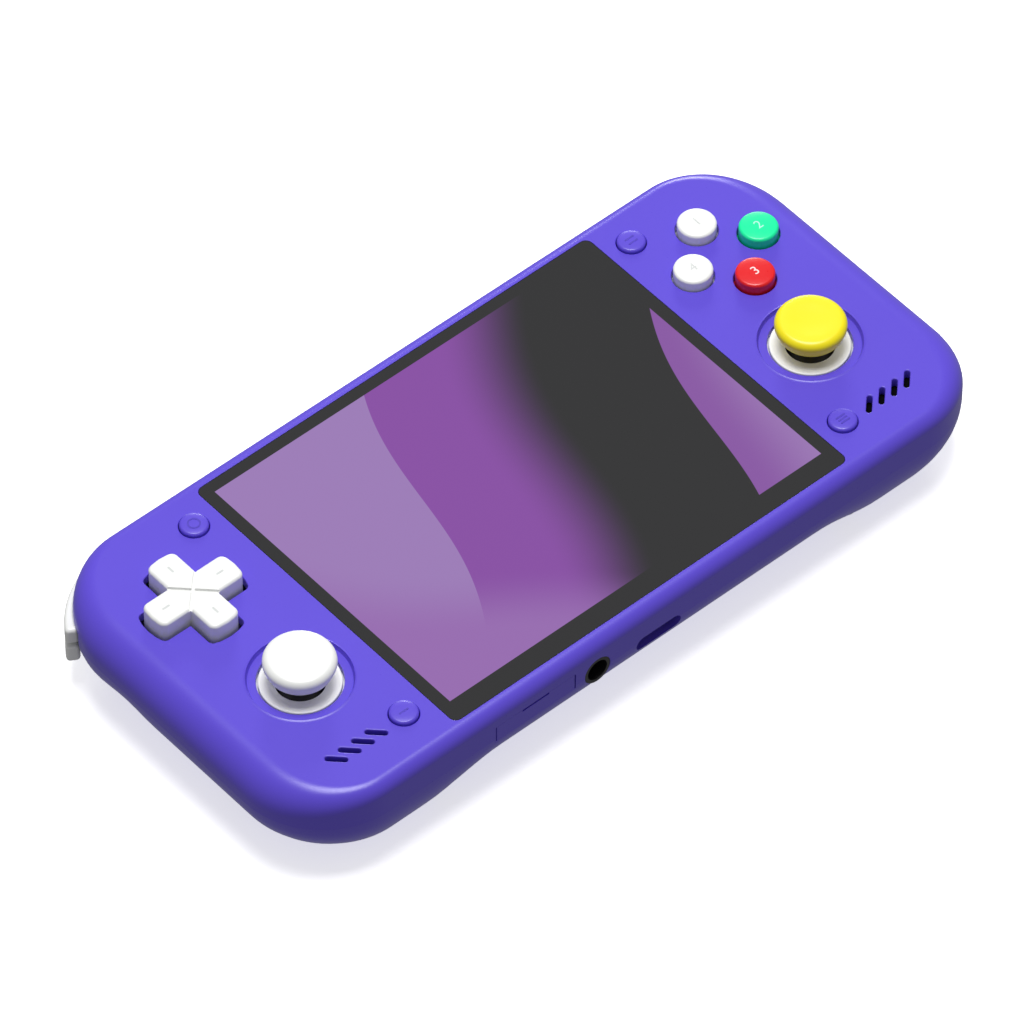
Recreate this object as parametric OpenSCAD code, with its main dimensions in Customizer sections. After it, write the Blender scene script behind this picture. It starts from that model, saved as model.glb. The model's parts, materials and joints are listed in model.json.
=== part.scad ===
// Handheld game console, lying on its back with the screen up.
// +X points to the right of the face, +Y to its top edge and +Z out of the face.
// The origin is below the middle of the case, on the plane that the four grips rest on.

/* [Case] */
// Length of the case, left end to right end
body_l = 131.5; // [128.5:0.5:142]
// Width of the case, bottom edge to top edge
body_w = 61.6; // [61.2:0.2:68]
// Corner radius of the case, seen from the front
corner_r = 14.4; // [13:0.2:17]
// Depth of the case at the grips
grip_depth = 16.5; // [16.2:0.1:19]
// Depth of the case at its middle
mid_depth = 13; // [12.8:0.1:15]
// Depth of the straight side wall, from the face to the parting line
wall_depth = 6; // [5.8:0.1:6.6]
// How far the rounding of the back reaches in from a long side
round_in = 8; // [6:0.5:10]
// How far the rounding of the back reaches in from an end
end_in = 16; // [12:0.5:18]
// Thickness of the case walls
wall = 1.6; // [1.4:0.1:1.8]
// Rounding of the front edge along the long sides and corners
face_fillet = 2.2; // [1.8:0.1:2.6]
// Rounding of the front edge along the two ends
end_fillet = 5; // [4:0.1:5.5]
// Distance from the middle at which the grips begin to swell
grip_start = 30; // [26:1:34]
// Distance from the middle at which the grips reach full depth
grip_full = 43; // [38:1:44]
// Height on the face of the finger channel between lower and upper grips
channel_y = 10.5; // [6:0.5:14]
// Half of the finger channel's width
channel_half = 6; // [4:0.5:8]
// Part of the swell that the finger channel takes away
channel_share = 0.55; // [0.2:0.05:0.8]
// Height of the lip that locates the two shells
lip_h = 1.4; // [1:0.1:2]

/* [Screen] */
// Width of the field for the controls on each side of the cover glass
field_w = 28.5; // [28.25:0.05:32]
// Width of the case's rim above and below the cover glass
glass_rim = 2.35; // [2.3:0.05:6]
// Corner radius of the cover glass
glass_r = 1.2; // [0.5:0.1:3]
// Thickness of the cover glass
glass_t = 0.75; // [0.6:0.05:0.9]
// Thickness of the adhesive frame under the glass
tape_t = 0.15; // [0.1:0.05:0.2]
// Width of the ledge that carries the glass
ledge_w = 0.85; // [0.7:0.05:1.2]
// Thickness of the display panel
panel_t = 2; // [1.6:0.1:2.2]

/* [Direction pad] */
// Distance of its centre from the end of the case
dpad_from_end = 15.05; // [14.65:0.05:16.2]
// Distance of its centre from the top edge
dpad_top_in = 18.1; // [17.5:0.1:18.6]
// Span from tip to tip
dpad_span = 15.5; // [14:0.1:16]
// Width of an arm
dpad_arm = 5.1; // [4.5:0.1:5.6]
// Height above the face
dpad_rise = 2.6; // [2:0.1:3]
// Gap to the cross-shaped opening
dpad_gap = 0.55; // [0.45:0.05:0.7]
// Tilt to each side in degrees, for the room above its flange
dpad_tilt = 3.5; // [2:0.5:4]

/* [Face buttons] */
// Distance of the diamond's centre from the end of the case
diamond_from_end = 15.25; // [14.85:0.05:16.2]
// Distance of the diamond's centre from the top edge
diamond_top_in = 18.1; // [17.5:0.1:18.6]
// Distance of a button from the diamond's centre
diamond_pitch = 6.4; // [6:0.1:6.8]
// Radius of a button
button_r = 2.95; // [2.6:0.05:3.1]
// Height of a button above the face
button_rise = 1.8; // [1.4:0.1:2.4]
// Travel of a button
button_travel = 1; // [0.6:0.1:1.2]

/* [Menu buttons] */
// Distance of the menu buttons from the side of the glass
menu_from_glass = 4.35; // [4:0.05:4.6]
// Distance of the upper menu buttons from the top edge
menu_top_in = 7.3; // [7.2:0.1:8]
// Distance of the lower menu buttons from the bottom edge
menu_low_in = 8.3; // [8:0.1:9]
// Radius of a menu button
menu_r = 2.15; // [1.9:0.05:2.3]
// Height of a menu button above the face
menu_rise = 0.6; // [0.3:0.1:1]
// Travel of a menu button
menu_travel = 0.25; // [0.15:0.05:0.3]

/* [Sticks] */
// Distance of a stick from the end of the case
stick_from_end = 17.35; // [17.05:0.05:17.85]
// Distance of the sticks below the direction pad's centre
stick_below = 20.7; // [20.2:0.1:21.2]
// Radius of the dished recess at the face
recess_r = 7.8; // [7:0.1:8.2]
// Depth of the dished recess
recess_d = 0.5; // [0.3:0.05:0.7]
// Radius of the opening in the face
stick_hole_r = 6.3; // [6.15:0.05:6.6]
// Radius of the trim ring that shows in the opening
ring_r = 6; // [5.6:0.05:6.1]
// Depth of the trim ring's top below the face
ring_drop = 0.55; // [0.4:0.05:0.8]
// Radius of the hole in the trim ring
ring_hole_r = 3.9; // [3.8:0.05:4.2]
// Depth of the tilt axes below the face
pivot_drop = 5.2; // [5.1:0.05:5.4]
// Radius of the thumb cap
cap_r = 5.35; // [4.8:0.05:5.6]
// Height of the thumb cap above the face
cap_rise = 4.8; // [4.6:0.1:6]
// Rounding of the thumb cap's edge
cap_edge = 1.5; // [1:0.1:1.7]
// Travel of a stick when it is pressed
stick_press = 0.35; // [0.2:0.05:0.4]

/* [Shoulder buttons] */
// Outer radius of the shoulder buttons
shoulder_r = 17; // [16.5:0.1:17.5]
// How far they stand out past the top edge
shoulder_proud = 0.7; // [0.5:0.1:1.6]
// Distance of their centre of curvature from the end of the case
shoulder_from_end = 14.55; // [14:0.05:15]
// Thickness of their outer skin
shoulder_t = 2.1; // [1.6:0.1:2.4]
// Angle at which they start, from +X
shoulder_a0 = 72; // [70:1:75]
// Angle at which they end, from +X
shoulder_a1 = 149; // [145:1:155]
// Depth of their top below the face
shoulder_drop = 4.4; // [4.2:0.1:4.6]
// Height of an upper shoulder button
bumper_h = 3; // [2.6:0.1:3.1]
// Height of a lower shoulder trigger
trigger_h = 3.4; // [3:0.1:3.5]
// Gap between the bumper and the trigger
shoulder_gap = 0.5; // [0.3:0.1:0.6]
// Radius of the hinge pin
pin_r = 0.8; // [0.6:0.05:1]

/* [Ports and edge keys] */
// Distance of the headphone jack from the memory card's middle
jack_from_card = 11.6; // [11.4:0.1:13]
// Depth of the headphone jack's axis below the face
jack_drop = 5.8; // [5.6:0.1:6]
// Radius of the headphone jack's bore
jack_r = 1.8; // [1.78:0.01:1.85]
// Length of the headphone jack's bore
jack_l = 14; // [12:0.5:14]
// Distance of the charging port from the headphone jack
usb_from_jack = 11.6; // [9:0.1:16]
// Depth of the charging port's middle below the face
usb_drop = 6.7; // [6.5:0.1:6.8]
// Distance of the memory card's middle from the side of the glass
card_from_glass = 13.05; // [12:0.05:14]
// Width of the memory card's cover
card_w = 14.6; // [13.5:0.1:15]
// Height of the memory card's cover
card_h = 3; // [2.6:0.1:3.2]
// Depth of the memory card cover's middle below the face
card_drop = 5; // [4.8:0.1:5.1]
// Place of the power key along the top edge
power_x = 24; // [20:0.5:28]
// Length of the power key
power_l = 6; // [5:0.5:8]
// Place of the volume rocker along the top edge
volume_x = 4; // [0:0.5:6]
// Length of the volume rocker
volume_l = 15; // [12:0.5:16]
// How far the edge keys stand out of the top edge
key_proud = 0.5; // [0.3:0.1:0.8]
// Height of the edge keys
key_h = 2; // [1.6:0.1:2.2]

/* [Speakers] */
// Distance of the middle of the slots from the end of the case
slots_from_end = 15.35; // [15.05:0.05:15.85]
// Distance of the slots from the bottom edge
slots_low_in = 8.25; // [7.8:0.05:8.6]
// Distance from slot to slot
slot_pitch = 2.45; // [2.2:0.05:2.6]
// Length of a slot
slot_l = 3.3; // [2.8:0.1:4]
// Width of a slot
slot_w = 0.85; // [0.6:0.05:1]
// Number of slots on each side
slot_n = 4; // [3:1:4]
// Lean of the slots in degrees
slot_lean = 45; // [30:5:60]

/* [Inside] */
// Depth of the main board's top below the face
board_drop = 5.2; // [5.1:0.05:5.4]
// Thickness of the main board
board_t = 1; // [0.8:0.1:1.2]
// Room between an end of the battery and the side of the glass
battery_end_room = 6.25; // [5.5:0.25:12]
// Room between the battery and the headphone jack
battery_jack_room = 0.65; // [0.5:0.05:6]
// Thickness of the battery
battery_t = 4.6; // [4:0.1:4.7]
// Radius of a screw post
post_r = 1.9; // [1.8:0.05:2]
// Radius of a screw's shank
screw_r = 0.75; // [0.6:0.05:0.8]
// Radius of a screw's head
head_r = 1.5; // [1.3:0.05:1.6]

/* [Hidden] */
$fn = 64;

// Clearances: flat faces that meet, parts that slide, shafts in bores, parts that must never meet
seat_gap = 0.05;
slide_gap = 0.2;
run_gap = 0.05;
free_gap = 0.3;
// Overshoot of a cut past the surface that it opens
over = 1;
// Overlap of two solids that are joined into one
join = 0.4;

// Levels
face_z = grip_depth;
ceiling_z = face_z - wall;
part_z = face_z - wall_depth;
board_z = face_z - board_drop;
board_low_z = board_z - board_t;
floor_z = face_z - mid_depth + wall;
glass_z = face_z - glass_t;
ledge_z = glass_z - tape_t;
panel_z = glass_z - panel_t;
pivot_z = face_z - pivot_drop;

// Half sizes of the case, and the inner face of its long walls
half_l = body_l / 2;
half_w = body_w / 2;
glass_w = body_l - 2 * field_w;
glass_h = body_w - 2 * glass_rim;
room_w = half_w - wall;

// Colours
purple = [0.42, 0.35, 0.89];
white = [0.95, 0.95, 0.95];
black = [0.1, 0.1, 0.12];
charcoal = [0.22, 0.22, 0.23];
green = [0.2, 0.9, 0.66];
red = [0.95, 0.2, 0.24];
yellow = [0.99, 0.9, 0.2];
rubber = [0.5, 0.5, 0.55];
steel = [0.7, 0.7, 0.72];
laminate = [0.1, 0.35, 0.2];
amber = [0.75, 0.45, 0.15];

// Plain forms

// Rectangle with round corners
module round_rect(l, w, r) {
  square([l - 2 * r, w], center = true);
  square([l, w - 2 * r], center = true);
  for (x = [-1, 1], y = [-1, 1]) {
    translate([x * (l / 2 - r), y * (w / 2 - r)]) circle(r);
  }
}

// Slot with round ends
module stadium(l, w) {
  square([l - w, w], center = true);
  for (x = [-1, 1]) {
    translate([x * (l - w) / 2, 0]) circle(w / 2);
  }
}

// Plate with round corners, standing on z
module plate(l, w, r, z, h) {
  translate([0, 0, z]) linear_extrude(h) round_rect(l, w, r);
}

// Block centred on x and y, standing on z
module block(l, w, z, h) {
  translate([-l / 2, -w / 2, z]) cube([l, w, h]);
}

// Half profile of a solid of revolution or of an edge, whose upper outer corner is rounded by f
module edge_profile(w, h, f) {
  square([w - f, h]);
  square([w, h - f]);
  translate([w - f, h - f]) circle(f);
}

// Disc whose upper edge is rounded by f, standing on z
module soft_disc(r, z, h, f) {
  translate([0, 0, z]) rotate_extrude() edge_profile(r, h, f);
}

// Tray form: a plate with round corners whose upper edge is rounded by f
module filleted_slab(l, w, r, z, h, f) {
  translate([0, 0, z]) {
    rotate([90, 0, 90]) linear_extrude(l - 2 * r, center = true) {
      edge_profile(w / 2, h, f);
      mirror([1, 0]) edge_profile(w / 2, h, f);
    }
    for (s = [0, 1]) {
      mirror([s, 0, 0]) translate([l / 2 - r, 0, 0]) rotate([90, 0, 0])
        linear_extrude(w - 2 * r, center = true) edge_profile(r, h, f);
    }
    for (x = [0, 1], y = [0, 1]) {
      mirror([x, 0, 0]) mirror([0, y, 0]) translate([l / 2 - r, w / 2 - r, 0])
        rotate_extrude(angle = 90) edge_profile(r, h, f);
    }
  }
}

// Bar along Y of width l that stands on z, whose two upper edges are rounded by f
module rolled_bar(l, w, z, h, f) {
  translate([0, 0, z]) rotate([90, 0, 0]) linear_extrude(w, center = true) {
    edge_profile(l / 2, h, f);
    mirror([1, 0]) edge_profile(l / 2, h, f);
  }
}

// Solid extruded along Y from y0 to y1, whose section lies in X and Z
module along_y(x, z, y0, y1) {
  translate([x, y1, z]) rotate([90, 0, 0]) linear_extrude(y1 - y0) children();
}

// What is drawn for the left side, on the side asked for
module on_side(s) {
  mirror([s > 0 ? 1 : 0, 0, 0]) children();
}

// Back of the case

// Points of the outline on each stretch of a quarter: end, corner and long side
end_n = 4;
arc_n = 6;
long_n = 10;
// Steps of the rounding, and of the surface from there to the middle
round_n = 6;
flat_n = 5;
least_r = 1;
// Part of the half width at which the last ring of the back lies
last_ring = 0.9;

function smooth(a, b, t) = let (u = min(max((t - a) / (b - a), 0), 1)) u * u * (3 - 2 * u);

// Share of the full swell at a place on the back
function swell(x, y) = smooth(grip_start, grip_full, abs(x))
  * (1 - channel_share * (1 - smooth(0, channel_half, abs(y - channel_y))));

// First quarter of a rounded rectangle with half sides l and w, from the middle of its right end
function quarter(l, w, r) = concat(
  [for (i = [0 : end_n - 1]) [l, (w - r) * i / end_n]],
  [for (i = [0 : arc_n - 1]) let (a = 90 * i / arc_n) [l - r + r * cos(a), w - r + r * sin(a)]],
  [for (i = [0 : long_n - 1]) [(l - r) * (1 - i / long_n), w]]);

// Whole outline of the case on a skin t inside the outer one, set in by d from the long sides. Over the
// rounding the ends come in further, by end_in where the sides come in by round_in
function outline(d, t) = let (
    turn = min(d, round_in - t),
    l = half_l - t - turn * end_in / round_in - (d - turn),
    w = half_w - t - d,
    q = quarter(l, w, max(corner_r - t - d, least_r)),
    n = len(q))
  concat(
    q,
    [for (i = [n : -1 : 1]) i == n ? [0, w] : [-q[i][0], q[i][1]]],
    [for (p = q) [-p[0], -p[1]]],
    [for (i = [n : -1 : 1]) i == n ? [0, -w] : [q[i][0], -q[i][1]]]);

// Ring of the back, set in by d from a skin t inside the outer one, at a share of the rounding's depth
function back_ring(d, t, share) = [for (p = outline(d, t))
  [p[0], p[1], part_z - share * (mid_depth - wall_depth - t
    + (grip_depth - mid_depth) * swell(p[0], p[1]))]];

function back_rings(t) = concat(
  [for (i = [0 : round_n]) let (a = 90 * i / round_n)
    back_ring((round_in - t) * (1 - cos(a)), t, sin(a))],
  [for (i = [1 : flat_n])
    back_ring(round_in - t + (half_w * last_ring - round_in) * i / flat_n, t, 1)]);

// Solid between a first ring and a last ring, each closed by a fan at both ends and a strip between
module loft(rings) {
  n = len(rings[0]);
  half = n / 2;
  e = end_n + 1;
  sides = [for (k = [0 : len(rings) - 2], i = [0 : n - 1])
    let (a = k * n + i, b = k * n + (i + 1) % n)
    each [[a, b, a + n], [b, b + n, a + n]]];
  right = [for (j = [-e : e - 2]) [e, (j + n) % n, (j + 1 + n) % n]];
  left = [for (j = [half - e + 1 : half + e - 1]) [half - e, j, j + 1]];
  strip = [for (i = [e : half - e - 1]) each [[i, i + 1, n - i - 1], [i, n - i - 1, n - i]]];
  cap = concat(right, left, strip);
  last = (len(rings) - 1) * n;
  top = [for (f = cap) [f[2], f[1], f[0]]];
  low = [for (f = cap) [last + f[0], last + f[1], last + f[2]]];
  polyhedron([for (r = rings) each r], concat(top, sides, low));
}

module back_solid(t) {
  loft(back_rings(t));
}

// Places of what repeats

dpad_at = [-(half_l - dpad_from_end), half_w - dpad_top_in];
diamond_at = [half_l - diamond_from_end, half_w - diamond_top_in];
stick_x = half_l - stick_from_end;
stick_y = dpad_at[1] - stick_below;
menu_x = glass_w / 2 + menu_from_glass;
menu_top_y = half_w - menu_top_in;
menu_low_y = -(half_w - menu_low_in);
slots_x = half_l - slots_from_end;
slots_y = -(half_w - slots_low_in);

// Screw posts: one beside each stick and four beside the corners of the glass
post_from_end = 6.35;
post_from_glass = 1.15;
post_from_edge = 3.7;
post_x = glass_w / 2 + post_from_glass;
post_y = half_w - post_from_edge;
posts = [for (s = [-1, 1]) each [
  [s * (half_l - post_from_end), stick_y], [s * post_x, post_y], [s * post_x, -post_y]]];

// Shoulder buttons of the left side: centre of curvature, hinge and opening
shoulder_at = [-(half_l - shoulder_from_end), half_w + shoulder_proud - shoulder_r];
hinge_r = 2;
hinge_in = 4.5;
hinge_at = [shoulder_at[0] + hinge_in, room_w - hinge_r - free_gap];
bumper_z = face_z - shoulder_drop - bumper_h;
trigger_z = bumper_z - shoulder_gap - trigger_h;
shoulder_top_z = face_z - shoulder_drop;
// Room that the opening leaves past the hinge and past the free end
notch_end = 1.8;
notch_free = 1.6;
notch_y = shoulder_at[1] + (shoulder_r - shoulder_t) * sin(shoulder_a1) - notch_free;
// Pad behind the skin that meets the switch: depth, and the angles between which it lies
pad_in = 3;
pad_a0 = 100;
pad_a1 = 128;
switch_a = 114;
pad_r = shoulder_r - shoulder_t - pad_in;
// Room in front of a bumper's pad and of a trigger's pad, for their swing
bumper_room = 0.6;
trigger_room = 1;
board_corner_r = pad_r - trigger_room - seat_gap;

module at(places) {
  for (p = places) {
    translate([p[0], p[1], 0]) children();
  }
}

// Openings in the side walls, shared by both shells

card_x = card_from_glass - glass_w / 2;
jack_x = card_x + jack_from_card;
usb_x = jack_x + usb_from_jack;
jack_z = face_z - jack_drop;
jack_nose_t = 0.55;
jack_nose_r = jack_r + jack_nose_t;
jack_body_l = 6;
jack_body_h = 4.8;
usb_z = face_z - usb_drop;
usb_mouth_l = 8.4;
usb_mouth_h = 2.6;
usb_shell_l = 8.94;
usb_shell_h = 3.26;
card_z = face_z - card_drop;
cover_t = 1.4;
// Hinge of the card cover: its axis lies this far inside the cover's lower outer edge
cover_axis = 0.5;
cover_hinge_y = -half_w + cover_axis;
cover_hinge_z = card_z - card_h / 2 + cover_axis;
cover_pin_r = 0.35;
cover_pin_l = 0.6;
key_z = part_z + free_gap + key_h / 2;

module wall_openings() {
  for (s = [-1, 1]) {
    on_side(s) translate([-body_l, notch_y, trigger_z - slide_gap])
      cube([body_l + hinge_at[0] + notch_end, half_w, shoulder_top_z - trigger_z + 2 * slide_gap]);
  }
  along_y(jack_x, jack_z, -half_w - over, -room_w + over) circle(jack_nose_r + seat_gap);
  along_y(usb_x, usb_z, -half_w - over, -room_w + over) stadium(usb_mouth_l, usb_mouth_h);
  along_y(jack_x, jack_z, -room_w, -room_w + wall)
    square([jack_body_l + 2 * slide_gap, jack_body_h + 2 * slide_gap], center = true);
  along_y(usb_x, usb_z, -room_w, -room_w + wall)
    stadium(usb_shell_l + 2 * slide_gap, usb_shell_h + 2 * slide_gap);
  along_y(card_x, card_z, -half_w - over, -room_w + over)
    square([card_w + 2 * slide_gap, card_h + 2 * slide_gap], center = true);
  translate([card_x, cover_hinge_y, cover_hinge_z]) rotate([0, 90, 0])
    cylinder(r = cover_pin_r + run_gap, h = card_w + 2 * cover_pin_l + 2 * slide_gap, center = true);
  along_y(power_x, key_z, room_w - over, half_w + over)
    square([power_l + 2 * slide_gap, key_h + 2 * slide_gap], center = true);
  along_y(volume_x, key_z, room_w - over, half_w + over)
    square([volume_l + 2 * slide_gap, key_h + 2 * slide_gap], center = true);
}

// Ring of the lip between two distances inside the case's side
module lip_ring(d0, d1, z, h) {
  translate([0, 0, z]) linear_extrude(h) difference() {
    round_rect(body_l - 2 * d0, body_w - 2 * d0, corner_r - d0);
    round_rect(body_l - 2 * d1, body_w - 2 * d1, corner_r - d1);
  }
}

// Front shell

ring_flange_r = 7.2;
menu_gap = 0.25;
button_gap = 0.25;
pilot_r = screw_r + run_gap;
hinge_bore_r = pin_r + run_gap;
hinge_seat = 0.5;

module dpad_outline(grow) {
  intersection() {
    union() {
      square([dpad_span + 2 * grow, dpad_arm + 2 * grow], center = true);
      square([dpad_arm + 2 * grow, dpad_span + 2 * grow], center = true);
    }
    circle(dpad_span / 2 + grow);
  }
}

module speaker_slots(s) {
  for (i = [0 : slot_n - 1]) {
    translate([s * slots_x + (i - (slot_n - 1) / 2) * slot_pitch, slots_y, ceiling_z - over])
      rotate([0, 0, s * slot_lean]) linear_extrude(wall + 2 * over) stadium(slot_l, slot_w);
  }
}

module face_openings() {
  deep = wall + 2 * over;
  plate(glass_w + 2 * seat_gap, glass_h + 2 * seat_gap, glass_r + seat_gap, ledge_z, face_z - ledge_z + over);
  plate(glass_w - 2 * ledge_w, glass_h - 2 * ledge_w, glass_r, ceiling_z - over, deep);
  translate([dpad_at[0], dpad_at[1], ceiling_z - over]) linear_extrude(deep) dpad_outline(dpad_gap);
  translate([diamond_at[0], diamond_at[1], ceiling_z - over]) {
    for (a = [0 : 90 : 270]) {
      rotate([0, 0, a]) translate([diamond_pitch, 0, 0]) cylinder(r = button_r + button_gap, h = deep);
    }
  }
  for (x = [-menu_x, menu_x], y = [menu_top_y, menu_low_y]) {
    translate([x, y, ceiling_z - over]) cylinder(r = menu_r + menu_gap, h = deep);
  }
  for (x = [-stick_x, stick_x]) {
    translate([x, stick_y, ceiling_z - over]) cylinder(r = stick_hole_r, h = deep);
    translate([x, stick_y, face_z - recess_d]) cylinder(r1 = stick_hole_r, r2 = recess_r, h = recess_d);
  }
  for (s = [-1, 1]) {
    speaker_slots(s);
  }
}

module front_shell() {
  color(purple) difference() {
    intersection() {
      filleted_slab(body_l, body_w, corner_r, part_z, wall_depth, face_fillet);
      rolled_bar(body_l, body_w + over, part_z, wall_depth, end_fillet);
    }
    difference() {
      intersection() {
        filleted_slab(body_l - 2 * wall, body_w - 2 * wall, corner_r - wall, part_z - over,
          wall_depth - wall + over, join);
        rolled_bar(body_l - 2 * wall, body_w, part_z - over, wall_depth - wall + over, end_fillet - wall);
      }
      at(posts) translate([0, 0, board_z + seat_gap]) cylinder(r = post_r, h = wall_depth);
      for (s = [-1, 1]) {
        on_side(s) translate([hinge_at[0], hinge_at[1], shoulder_top_z + slide_gap])
          cylinder(r = hinge_r, h = wall_depth);
      }
    }
    lip_ring(wall / 2, wall + join, part_z - over, over + lip_h + slide_gap);
    face_openings();
    wall_openings();
    at(posts) translate([0, 0, board_z]) cylinder(r = pilot_r, h = ceiling_z - board_z);
    for (s = [-1, 1]) {
      on_side(s) translate([hinge_at[0], hinge_at[1], shoulder_top_z])
        cylinder(r = hinge_bore_r, h = ceiling_z + hinge_seat - shoulder_top_z);
    }
  }
}

// Rear shell

head_seat_z = floor_z;
head_t = 1.2;
pin_seat = 2;
hinge_low_z = trigger_z - pin_seat;

module rear_shell() {
  color(purple) difference() {
    union() {
      difference() {
        back_solid(0);
        difference() {
          translate([0, 0, seat_gap]) back_solid(wall);
          at(posts) cylinder(r = head_r + wall / 2 + run_gap, h = board_low_z - seat_gap);
          for (s = [-1, 1]) {
            on_side(s) translate([hinge_at[0], hinge_at[1], 0])
              cylinder(r = hinge_r, h = trigger_z - slide_gap);
          }
        }
      }
      lip_ring(wall / 2 + seat_gap, wall - seat_gap, part_z - join, join + lip_h);
    }
    wall_openings();
    at(posts) translate([0, 0, -over]) cylinder(r = head_r + run_gap, h = head_seat_z + over);
    at(posts) cylinder(r = screw_r + run_gap, h = face_z);
    for (s = [-1, 1]) {
      on_side(s) translate([hinge_at[0], hinge_at[1], hinge_low_z])
        cylinder(r = hinge_bore_r, h = trigger_z - hinge_low_z);
    }
  }
}

// Screws with sunk heads, driven from the back
module case_screws() {
  shank_z = head_seat_z - join;
  color(steel) at(posts) {
    difference() {
      translate([0, 0, head_seat_z - head_t]) cylinder(r = head_r, h = head_t);
      block(2 * screw_r, head_r / 4, head_seat_z - head_t - over, over + head_t / 2);
      block(head_r / 4, 2 * screw_r, head_seat_z - head_t - over, over + head_t / 2);
    }
    translate([0, 0, shank_z]) cylinder(r = screw_r, h = ceiling_z - seat_gap - shank_z);
  }
}

// Screen

module screen_glass() {
  color(charcoal) plate(glass_w, glass_h, glass_r, glass_z, glass_t);
}

module glass_tape() {
  color(black) difference() {
    plate(glass_w, glass_h, glass_r, ledge_z, tape_t);
    plate(glass_w - 2 * ledge_w, glass_h - 2 * ledge_w, glass_r, ledge_z - over, tape_t + 2 * over);
  }
}

panel_w = glass_w - 2 * ledge_w - 2 * slide_gap;
panel_h = glass_h - 2 * ledge_w - 2 * slide_gap;

module display_panel() {
  color(charcoal) plate(panel_w, panel_h, glass_r, panel_z, panel_t);
}

// Ribbon that folds from the back of the display to the board
ribbon_t = 0.2;
ribbon_w = 12;
ribbon_l = 5;
ribbon_in = 10.2;
ribbon_x = ribbon_in - panel_w / 2;

module display_ribbon() {
  h = panel_z - board_z;
  color(amber) translate([ribbon_x, panel_h / 2 - ribbon_l, board_z]) difference() {
    cube([ribbon_w, ribbon_l, h]);
    translate([-over, -over, ribbon_t])
      cube([ribbon_w + 2 * over, ribbon_l + over - ribbon_t, h - 2 * ribbon_t]);
  }
}

// Direction pad

dpad_flange_t = 0.75;
dpad_flange = 0.7;
dpad_ball_r = 1.4;
dpad_pivot_z = board_z + slide_gap + dpad_ball_r;
dpad_flange_r = dpad_span / 2 + dpad_flange;
dpad_flange_z = ceiling_z - slide_gap - dpad_flange_r * sin(dpad_tilt) - dpad_flange_t;
dpad_groove = 0.4;

module dpad() {
  top_z = face_z + dpad_rise;
  color(white) translate([dpad_at[0], dpad_at[1], 0]) difference() {
    union() {
      translate([0, 0, dpad_flange_z]) linear_extrude(dpad_flange_t) dpad_outline(dpad_flange);
      translate([0, 0, dpad_flange_z]) linear_extrude(top_z - dpad_flange_z) dpad_outline(0);
    }
    for (a = [45, 135]) {
      rotate([0, 0, a]) block(dpad_arm * sqrt(2), dpad_groove, top_z - dpad_groove, over);
    }
    translate([0, 0, dpad_pivot_z]) sphere(dpad_ball_r + run_gap);
  }
}

module dpad_pivot() {
  color(steel) translate([dpad_at[0], dpad_at[1], dpad_pivot_z]) sphere(dpad_ball_r);
}

// Rubber sheet with a dome under each key
membrane_t = 0.4;
dome_r1 = 1.9;
dome_r2 = 1.2;

module membrane_dome(top_z) {
  translate([0, 0, board_z]) cylinder(r1 = dome_r1, r2 = dome_r2, h = top_z - board_z);
}

module dpad_membrane() {
  hole_r = dpad_ball_r + free_gap;
  color(rubber) translate([dpad_at[0], dpad_at[1], 0]) {
    difference() {
      translate([0, 0, board_z]) cylinder(r = dpad_flange_r, h = membrane_t);
      translate([0, 0, board_z - over]) cylinder(r = hole_r, h = membrane_t + 2 * over);
    }
    for (a = [0 : 90 : 270]) {
      rotate([0, 0, a]) translate([dpad_span / 2 - dome_r1, 0, 0]) membrane_dome(dpad_flange_z - seat_gap);
    }
  }
}

// Face buttons

button_flange = 0.95;
// The flange leaves the button's travel above the rubber sheet
button_flange_z = board_z + membrane_t + free_gap + button_travel;
button_flange_t = ceiling_z - slide_gap - button_flange_z;
button_edge = 0.5;

module face_button(angle, paint) {
  color(paint) translate([diamond_at[0], diamond_at[1], 0]) rotate([0, 0, angle])
    translate([diamond_pitch, 0, 0]) {
      soft_disc(button_r, button_flange_z, face_z + button_rise - button_flange_z, button_edge);
      translate([0, 0, button_flange_z]) cylinder(r = button_r + button_flange, h = button_flange_t);
    }
}

module face_button_membrane() {
  color(rubber) translate([diamond_at[0], diamond_at[1], 0]) {
    translate([0, 0, board_z]) cylinder(r = diamond_pitch + button_r, h = membrane_t);
    for (a = [0 : 90 : 270]) {
      rotate([0, 0, a]) translate([diamond_pitch, 0, 0]) membrane_dome(button_flange_z - seat_gap);
    }
  }
}

// Menu buttons and their switches

menu_flange = 0.5;
menu_flange_t = 0.7;
menu_flange_z = ceiling_z - slide_gap - menu_flange_t;
menu_edge = 0.45;
switch_l = 2.6;
switch_cap_r = 0.8;

module menu_button(x, y) {
  color(purple) translate([x, y, 0]) {
    soft_disc(menu_r, menu_flange_z, face_z + menu_rise - menu_flange_z, menu_edge);
    translate([0, 0, menu_flange_z]) cylinder(r = menu_r + menu_flange, h = menu_flange_t);
  }
}

module menu_switches() {
  cap_z = menu_flange_z - menu_travel - seat_gap;
  color(steel) for (x = [-menu_x, menu_x], y = [menu_top_y, menu_low_y]) {
    translate([x, y, 0]) {
      block(switch_l, switch_l, board_z, (cap_z - board_z) / 2);
      translate([0, 0, board_z]) cylinder(r = switch_cap_r, h = cap_z - board_z);
    }
  }
}

// Sticks: each is a cap on a shaft, a yoke and a carriage in a fixed housing

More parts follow.
